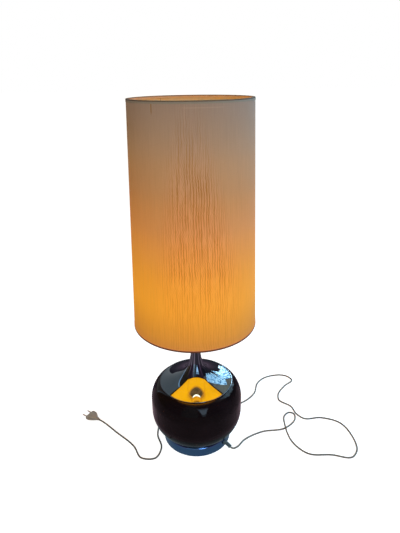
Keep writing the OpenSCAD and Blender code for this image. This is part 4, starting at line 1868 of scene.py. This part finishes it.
@dataclass
class MirrorCap:
    """Spun mirror cap on the bowl's rim: beaded edge, curved dish, sweep, flared neck and tube."""

    bowl: Bowl
    bead: float = 1.4 * MM
    bead_lap: float = 0.4 * MM
    bead_turns: Span = (-50.0, 100.0)
    edge_slope: float = 12.0
    sweep_slope: float = 36.0
    sweep_r: float = 63.5 * MM
    neck_slope: float = 78.5
    neck_r: float = 16 * MM
    tube_r: float = 9.5 * MM
    wall: float = 1.5 * MM
    gap: float = 0.3 * MM
    skirt_depth: float = 6 * MM
    # Heights over which the painted reflection lines on the neck fade in.
    reflection_lines_low: float = 207 * MM
    reflection_lines_high: float = 234 * MM
    # How far out from the bead's middle its painted highlight starts.
    highlight_in: float = 0.2 * MM
    colour: Colour = (0.05, 0.066, 0.08)
    shade: Colour = (0.042, 0.056, 0.068)

    def __post_init__(self) -> None:
        """Takes the cap's edge from the bowl's rim."""
        self.edge_r = (self.bowl.rim_r + self.bowl.open_r) / 2
        self.rim_z = self.bowl.rim_z
        self.skirt_r = self.bowl.open_r - self.gap

    def _finish(self) -> CapPolish:
        """Mirror polish with its painted reflection lines and bead highlight at the cap's own places.

        Returns:
            The finish.
        """
        return CapPolish(
            "mirror_polish", self.colour, self.shade, roughness=0.02, smear=0.03,
            reflection_low=self.reflection_lines_low, reflection_high=self.reflection_lines_high, highlight_r=self.edge_r + self.highlight_in,
        )

    @staticmethod
    def _away(point: Point2, slope: float, reach: float) -> Point2:
        """The point moved along the outer face's normal at a slope."""
        a = math.radians(slope)
        return point[0] + reach * math.sin(a), point[1] + reach * math.cos(a)

    def _line(self, inset: float, top: float) -> list[Point2]:
        """Line of the sheet from the dish's edge to the tube's top.

        Args:
            inset: How far the line is moved in.
            top: Height of the tube's top.

        Returns:
            The line's points.
        """
        slopes = (self.edge_slope, self.sweep_slope, self.neck_slope)
        edge_sin, sweep_sin, neck_sin = (math.sin(math.radians(slope)) for slope in slopes)
        inward = self.edge_r - self.neck_r - self.sweep_r * (neck_sin - sweep_sin)
        dish_r = inward / (sweep_sin - edge_sin)
        flare_r = (self.neck_r - self.tube_r) / (1 - neck_sin)
        edge = (self.edge_r, self.rim_z + 2 * self.bead - self.bead_lap)
        dish = self._away(edge, self.edge_slope, dish_r)
        sweep = self._away(dish, self.sweep_slope, self.sweep_r - dish_r)
        flare = self._away(sweep, self.neck_slope, flare_r - self.sweep_r)
        at_edge, at_sweep, at_neck = (270 - slope for slope in slopes)
        line = arc(dish, dish_r + inset, at_edge, at_sweep, 40)
        line += arc(sweep, self.sweep_r + inset, at_sweep, at_neck, 48)[1:]
        line += arc(flare, flare_r + inset, at_neck, 180, 24)[1:]
        line += straight(line[-1], (self.tube_r - inset, top), 8)[1:]
        return line

    def build(self, effects: SurfaceEffects) -> None:
        """Makes the cap up to the cup under the lampholder.

        Args:
            effects: The shared node groups.
        """
        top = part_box("cap")[1].z
        bead_z = self.rim_z + self.bead
        skirt_in, skirt_z = self.skirt_r - self.wall, self.rim_z - self.skirt_depth
        outline = [(skirt_in, skirt_z), (self.skirt_r, skirt_z), (self.skirt_r, self.rim_z)]
        outline.append((self.edge_r + self.bead / 2, self.rim_z))
        outline += arc((self.edge_r, bead_z), self.bead, *self.bead_turns, 16)
        outline += self._line(0.0, top)[1:]
        outline += list(reversed(self._line(self.wall, top)))[:-1]
        outline.append((skirt_in, bead_z))
        cap = spin("mirror_cap", outline, segments=360)
        place(cap, Body.BASE, "mirror_chrome", self._finish().build(effects), "cap")


# Bulb and shade


@dataclass
class BulbGlass:
    """Opal glass of the bulb: a globe on a flared neck."""

    globe_r: float = 30 * MM
    blend_r: float = 34 * MM
    neck_r: float = 12.1 * MM
    neck_gap: float = 0.2 * MM
    wall: float = 1 * MM
    strength: float = 2.4
    mirrored: float = 30.0

    def build(self, effects: SurfaceEffects) -> None:
        """Makes the glass in the CAD glass's place.

        Args:
            effects: The shared node groups.
        """
        low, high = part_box("bulb_glass")
        globe_z = high.z - self.globe_r
        blend_x = self.neck_r + self.blend_r
        drop = math.sqrt((self.globe_r + self.blend_r) ** 2 - blend_x**2)
        lean = math.degrees(math.atan2(drop, blend_x))
        neck_z = globe_z - drop

        def line(inset: float) -> list[Point2]:
            """Line of the glass from its foot to its crown.

            Args:
                inset: How far the line is moved in.

            Returns:
                The line's points.
            """
            neck_in = self.neck_r - inset
            points = straight((neck_in, low.z), (neck_in, neck_z - self.neck_gap), 3)
            points += arc((blend_x, neck_z), self.blend_r + inset, 180, 180 - lean, 12)
            points += arc((0.0, globe_z), self.globe_r - inset, -lean, 89.5, 36)[1:]
            return points

        glass = spin("opal_globe", line(0.0) + list(reversed(line(self.wall))), segments=96)
        finish = Opal("lit_opal", low.z, high.z, self.strength, self.mirrored)
        place(glass, Body.BULB, "opal_glass", finish.build(effects), "bulb_glass")


@dataclass
class Shade:
    """Tall tapered shade: stretched cloth, glowing lining and folded edge tapes.

    The cloth's ripples each have a depth, a number round the axis and a twist over the height.
    """

    bottom_r: float = 150 * MM
    top_r: float = 132.5 * MM
    cover_t: float = 0.6 * MM
    lining_t: float = 0.5 * MM
    seat: float = 0.05 * MM
    hem: float = 5.25 * MM
    tape_t: float = 0.5 * MM
    tape_w: float = 5 * MM
    tape_round: float = 0.3 * MM
    ripples: tuple[Point3, ...] = ((0.05 * MM, 23, 2.1), (0.04 * MM, 61, -3.7))
    edge_hold: float = 12.0
    lap_turn: float = 118.0
    lap_half: float = 3.5
    lap_t: float = 0.28 * MM
    lap_power: float = 0.3
    seam_turn: float = 121.0

    def __post_init__(self) -> None:
        """Takes the edges' heights from the CAD cover and works out girth and slant."""
        low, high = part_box("shade_cover")
        self.low, self.high = low.z, high.z
        self.girth = 2 * math.pi * self.bottom_r
        self.slant = math.hypot(self.high - self.low, self.bottom_r - self.top_r)

    def _share(self, z: float) -> float:
        """Height as a share from the lower edge to the upper edge."""
        return (z - self.low) / (self.high - self.low)

    def _radius(self, z: float) -> float:
        """Outer radius at a height."""
        return self.bottom_r + (self.top_r - self.bottom_r) * self._share(z)

    def _wall(self, outer: float, inner: float, rows: int) -> list[Point2]:
        """Closed section of one layer.

        Args:
            outer: Depth of its outer side under the shade's outer face.
            inner: Depth of its inner side.
            rows: Steps from the lower edge to the upper.

        Returns:
            The section's points.
        """
        bottom_out, top_out = (self.bottom_r - outer, self.low), (self.top_r - outer, self.high)
        bottom_in, top_in = (self.bottom_r - inner, self.low), (self.top_r - inner, self.high)
        return straight(bottom_out, top_out, rows) + straight(top_in, bottom_in, rows)

    def _ripple(self, angle: float, radius: float, height: float) -> float:
        """Small unevenness of stretched cloth, with a lap at its seam.

        Args:
            angle: Angle round the axis.
            radius: Radius of the even cloth; not used.
            height: Height of the point.

        Returns:
            How far the cloth stands out.
        """
        share = self._share(height)
        wave = sum(deep * math.sin(n * angle + twist * share) for deep, n, twist in self.ripples)
        off = abs((math.degrees(angle) - self.lap_turn + 180) % 360 - 180)
        lap = self.lap_t * max(0.0, 1 - off / self.lap_half) ** self.lap_power
        return (wave + lap) * min(1.0, self.edge_hold * share, self.edge_hold * (1 - share))

    def _tape(self, edge: float, side: int) -> list[Point2]:
        """Closed section of the tape folded over an edge.

        Args:
            edge: Height of the edge.
            side: 1 at the top and -1 at the bottom.

        Returns:
            The section's points.
        """
        t = self.tape_t
        far, lip = edge - side * self.tape_w, edge + side * self.seat
        crown = lip + side * t
        bend = crown - side * self.tape_round
        out_r, far_r = self._radius(edge) + self.seat, self._radius(far) + self.seat
        in_r = self._radius(edge) - self.hem
        outer = straight((far_r + t, far), (out_r + t, bend), 6)
        outer += [(out_r + t / 2, crown), (in_r - t / 2, crown)]
        outer += straight((in_r - t, bend), (in_r - t, far), 5)
        return outer + [(in_r, far), (in_r, lip), (out_r, lip), (far_r, far)]

    def _cloth_finish(self) -> LitCloth:
        """The lit cloth, with its colour and its glow from the lower edge to the upper. Its colour
        turns orange and loses blue towards the lower edge, partly as painted bulb light and painted
        shade.

        Returns:
            The finish.
        """
        return LitCloth(
            "lit_cloth", self.low, self.high, self.girth,
            # Colour stops, partly painted: more orange and less blue towards the lower edge stand in
            # for bulb light and weaker daylight.
            body=(
                (0.0, (0.36, 0.15, 0.035)), (0.19, (0.36, 0.14, 0.035)), (0.35, (0.36, 0.14, 0.05)),
                (0.5, (0.35, 0.175, 0.085)), (0.65, (0.35, 0.2, 0.105)), (0.81, (0.35, 0.21, 0.14)),
                (1.0, (0.34, 0.21, 0.16)),
            ),
            glow=(
                (0.0, (0.37, 0.13, 0.014)), (0.05, (0.43, 0.155, 0.006)), (0.19, (0.6, 0.227, 0.002)),
                (0.35, (0.53, 0.195, 0.002)), (0.5, (0.39, 0.12, 0.002)), (0.65, (0.24, 0.07, 0.002)),
                (0.81, (0.13, 0.05, 0.004)), (1.0, (0.02, 0.012, 0.004)),
            ),
        )

    def _lining_finish(self) -> Lining:
        """The glowing lining, as the eye sees it and as the mirror cap shows it.

        Returns:
            The finish.
        """
        return Lining(
            "glowing_lining", self.low, self.high, self.girth,
            glow=(
                (0.0, (0.8, 0.3, 0.02)), (0.5, (0.6, 0.23, 0.02)), (0.9, (0.09, 0.05, 0.008)),
                (1.0, (0.06, 0.04, 0.008)),
            ),
            mirror_glow=(
                (0.0, (0.9, 0.3, 0.004)), (0.12, (1.0, 0.36, 0.003)), (0.55, (1.0, 0.36, 0.003)),
                (0.74, (0.78, 0.26, 0.006)), (0.88, (0.42, 0.15, 0.012)), (1.0, (0.13, 0.055, 0.02)),
            ),
            mirrored=18.0,
            seam_turn=self.seam_turn,
        )

    def _tape_finishes(self) -> tuple[EdgeTape, EdgeTape]:
        """Finishes of the tapes over the two edges.

        Returns:
            The upper tape, plain outside, and the lower tape, which the bulb shines through.
        """
        upper_in, lower_in = (self._radius(z) - self.hem for z in (self.high, self.low))
        upper = EdgeTape(
            "upper_tape", colour=(0.29, 0.215, 0.16), glow=BLACK,
            inner_r=upper_in, inner_glow=(0.2, 0.08, 0.012),
            shaded_edge_z=self.high, shaded_edge_h=1.3 * MM, painted_shade_tone=0.42,
        )
        lower = EdgeTape(
            "lower_tape", colour=(0.3, 0.12, 0.07), glow=(0.42, 0.12, 0.025),
            inner_r=lower_in, inner_glow=(0.8, 0.3, 0.03),
            shaded_edge_z=self.low, shaded_edge_h=3.4 * MM, painted_shade_tone=0.16,
        )
        return upper, lower

    def build(self, effects: SurfaceEffects) -> None:
        """Args:
            effects: The shared node groups.
        """
        cloth, lining = self._cloth_finish().build(effects), self._lining_finish().build(effects)
        upper_tape, lower_tape = (finish.build(effects) for finish in self._tape_finishes())
        start = self.cover_t + self.seat
        outer_wall = self._wall(0.0, self.cover_t, rows=60)
        inner_wall = self._wall(start, start + self.lining_t, rows=40)
        cover = spin("shade_cloth_cover", outer_wall, segments=720, warp=self._ripple)
        place(cover, Body.SHADE, "shade_cloth", cloth, "shade_cover")
        inner = spin("shade_glow_lining", inner_wall, segments=240)
        place(inner, Body.SHADE, "shade_lining", lining, "shade_liner")
        upper = spin("upper_edge_tape", self._tape(self.high, 1), segments=360)
        place(upper, Body.SHADE, "edge_tape", upper_tape, "top_trim")
        lower = spin("lower_edge_tape", self._tape(self.low, -1), segments=360)
        place(lower, Body.SHADE, "edge_tape", lower_tape, "bottom_trim")


# Pieces that keep their CAD solids


@dataclass
class Fittings:
    """CAD nodes that keep their own solids, by finish."""

    finishes: tuple[tuple[Finish, tuple[str, ...]], ...] = (
        (
            Turned("cast_iron", (0.16, 0.16, 0.17), roughness=0.55, grain_size=1.2 * MM, relief=0.5),
            ("ballast",),
        ),
        (
            Turned("plated_steel", (0.58, 0.59, 0.6), roughness=0.3),
            (
                "bottom_washer", "bottom_nut", "inner_washer", "inner_nut", "centre_rod",
                "lock_screw", "bulb_contact",
            ),
        ),
        (
            Polished("lit_polish", (0.3, 0.36, 0.42), (0.26, 0.31, 0.37), lamp_lit=(12.0, 3.6, 0.08)),
            ("neck_cup",),
        ),
        (
            Moulded("dark_resin", (0.03, 0.02, 0.016), Gloss.SATIN, lamp_lit=(15.0, 4.9, 0.1)),
            ("holder_base", "holder_body", "lower_ring", "clamp_ring"),
        ),
        (Moulded("ivory_resin", (0.7, 0.64, 0.5), Gloss.SATIN), ("switch_bar",)),
        (Moulded("porcelain", (0.8, 0.79, 0.75), Gloss.POLISHED), ("holder_insert",)),
        (
            Turned("pressed_brass", (0.72, 0.53, 0.24), roughness=0.28),
            ("terminal_screws", "thread_shell", "centre_contact"),
        ),
        (Moulded("black_glass", (0.01, 0.01, 0.012), Gloss.POLISHED), ("bulb_insulator",)),
        (Turned("rolled_sheet", (0.7, 0.7, 0.69), roughness=0.3), ("bulb_cap",)),
        (
            Moulded("coated_wire", (0.68, 0.64, 0.56), Gloss.SATIN, lamp_lit=(12.0, 3.4, 0.1)),
            ("shade_carrier", "shade_top_ring"),
        ),
    )
    leads: tuple[str, ...] = ("inner_lead",)

    @staticmethod
    def _dress(frame: dict, nodes: Sequence[str], material: bpy.types.Material) -> None:
        """Gives CAD nodes a material.

        Args:
            frame: The loaded frame.
            nodes: Names of the nodes.
            material: Their material.
        """
        for name in nodes:
            mesh = frame["nodes"][name].data
            mesh.materials.clear()
            mesh.materials.append(material)
            LOG.info("node %s dressed in %s", name, material.name)

    def dress(self, frame: dict, effects: SurfaceEffects, sheath: bpy.types.Material) -> None:
        """Dresses every CAD node that stays.

        Args:
            frame: The loaded frame.
            effects: The shared node groups.
            sheath: The cord's own finish, for the lead inside the lamp.
        """
        for finish, nodes in self.finishes:
            self._dress(frame, nodes, finish.build(effects))
        self._dress(frame, self.leads, sheath)


def main() -> None:
    """Builds the lamp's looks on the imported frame."""
    logging.basicConfig(level=logging.INFO, format="%(name)s: %(message)s")
    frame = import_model()
    PhotoCamera().build()
    effects = SurfaceEffects()

    cord = FlexCord()
    flex = cord.build(effects)
    plug = FlatPlug().build(effects)
    sleeve = Sleeve().build(effects)

    Studio().build()
    FeltPad().build(effects)
    Foot().build(effects)
    bowl = Bowl()
    bowl.build(effects)
    MirrorCap(bowl).build(effects)
    BulbGlass().build(effects)
    Shade().build(effects)
    Fittings().dress(frame, effects, flex.data.materials[0])


if __name__ == "__main__":
    main()
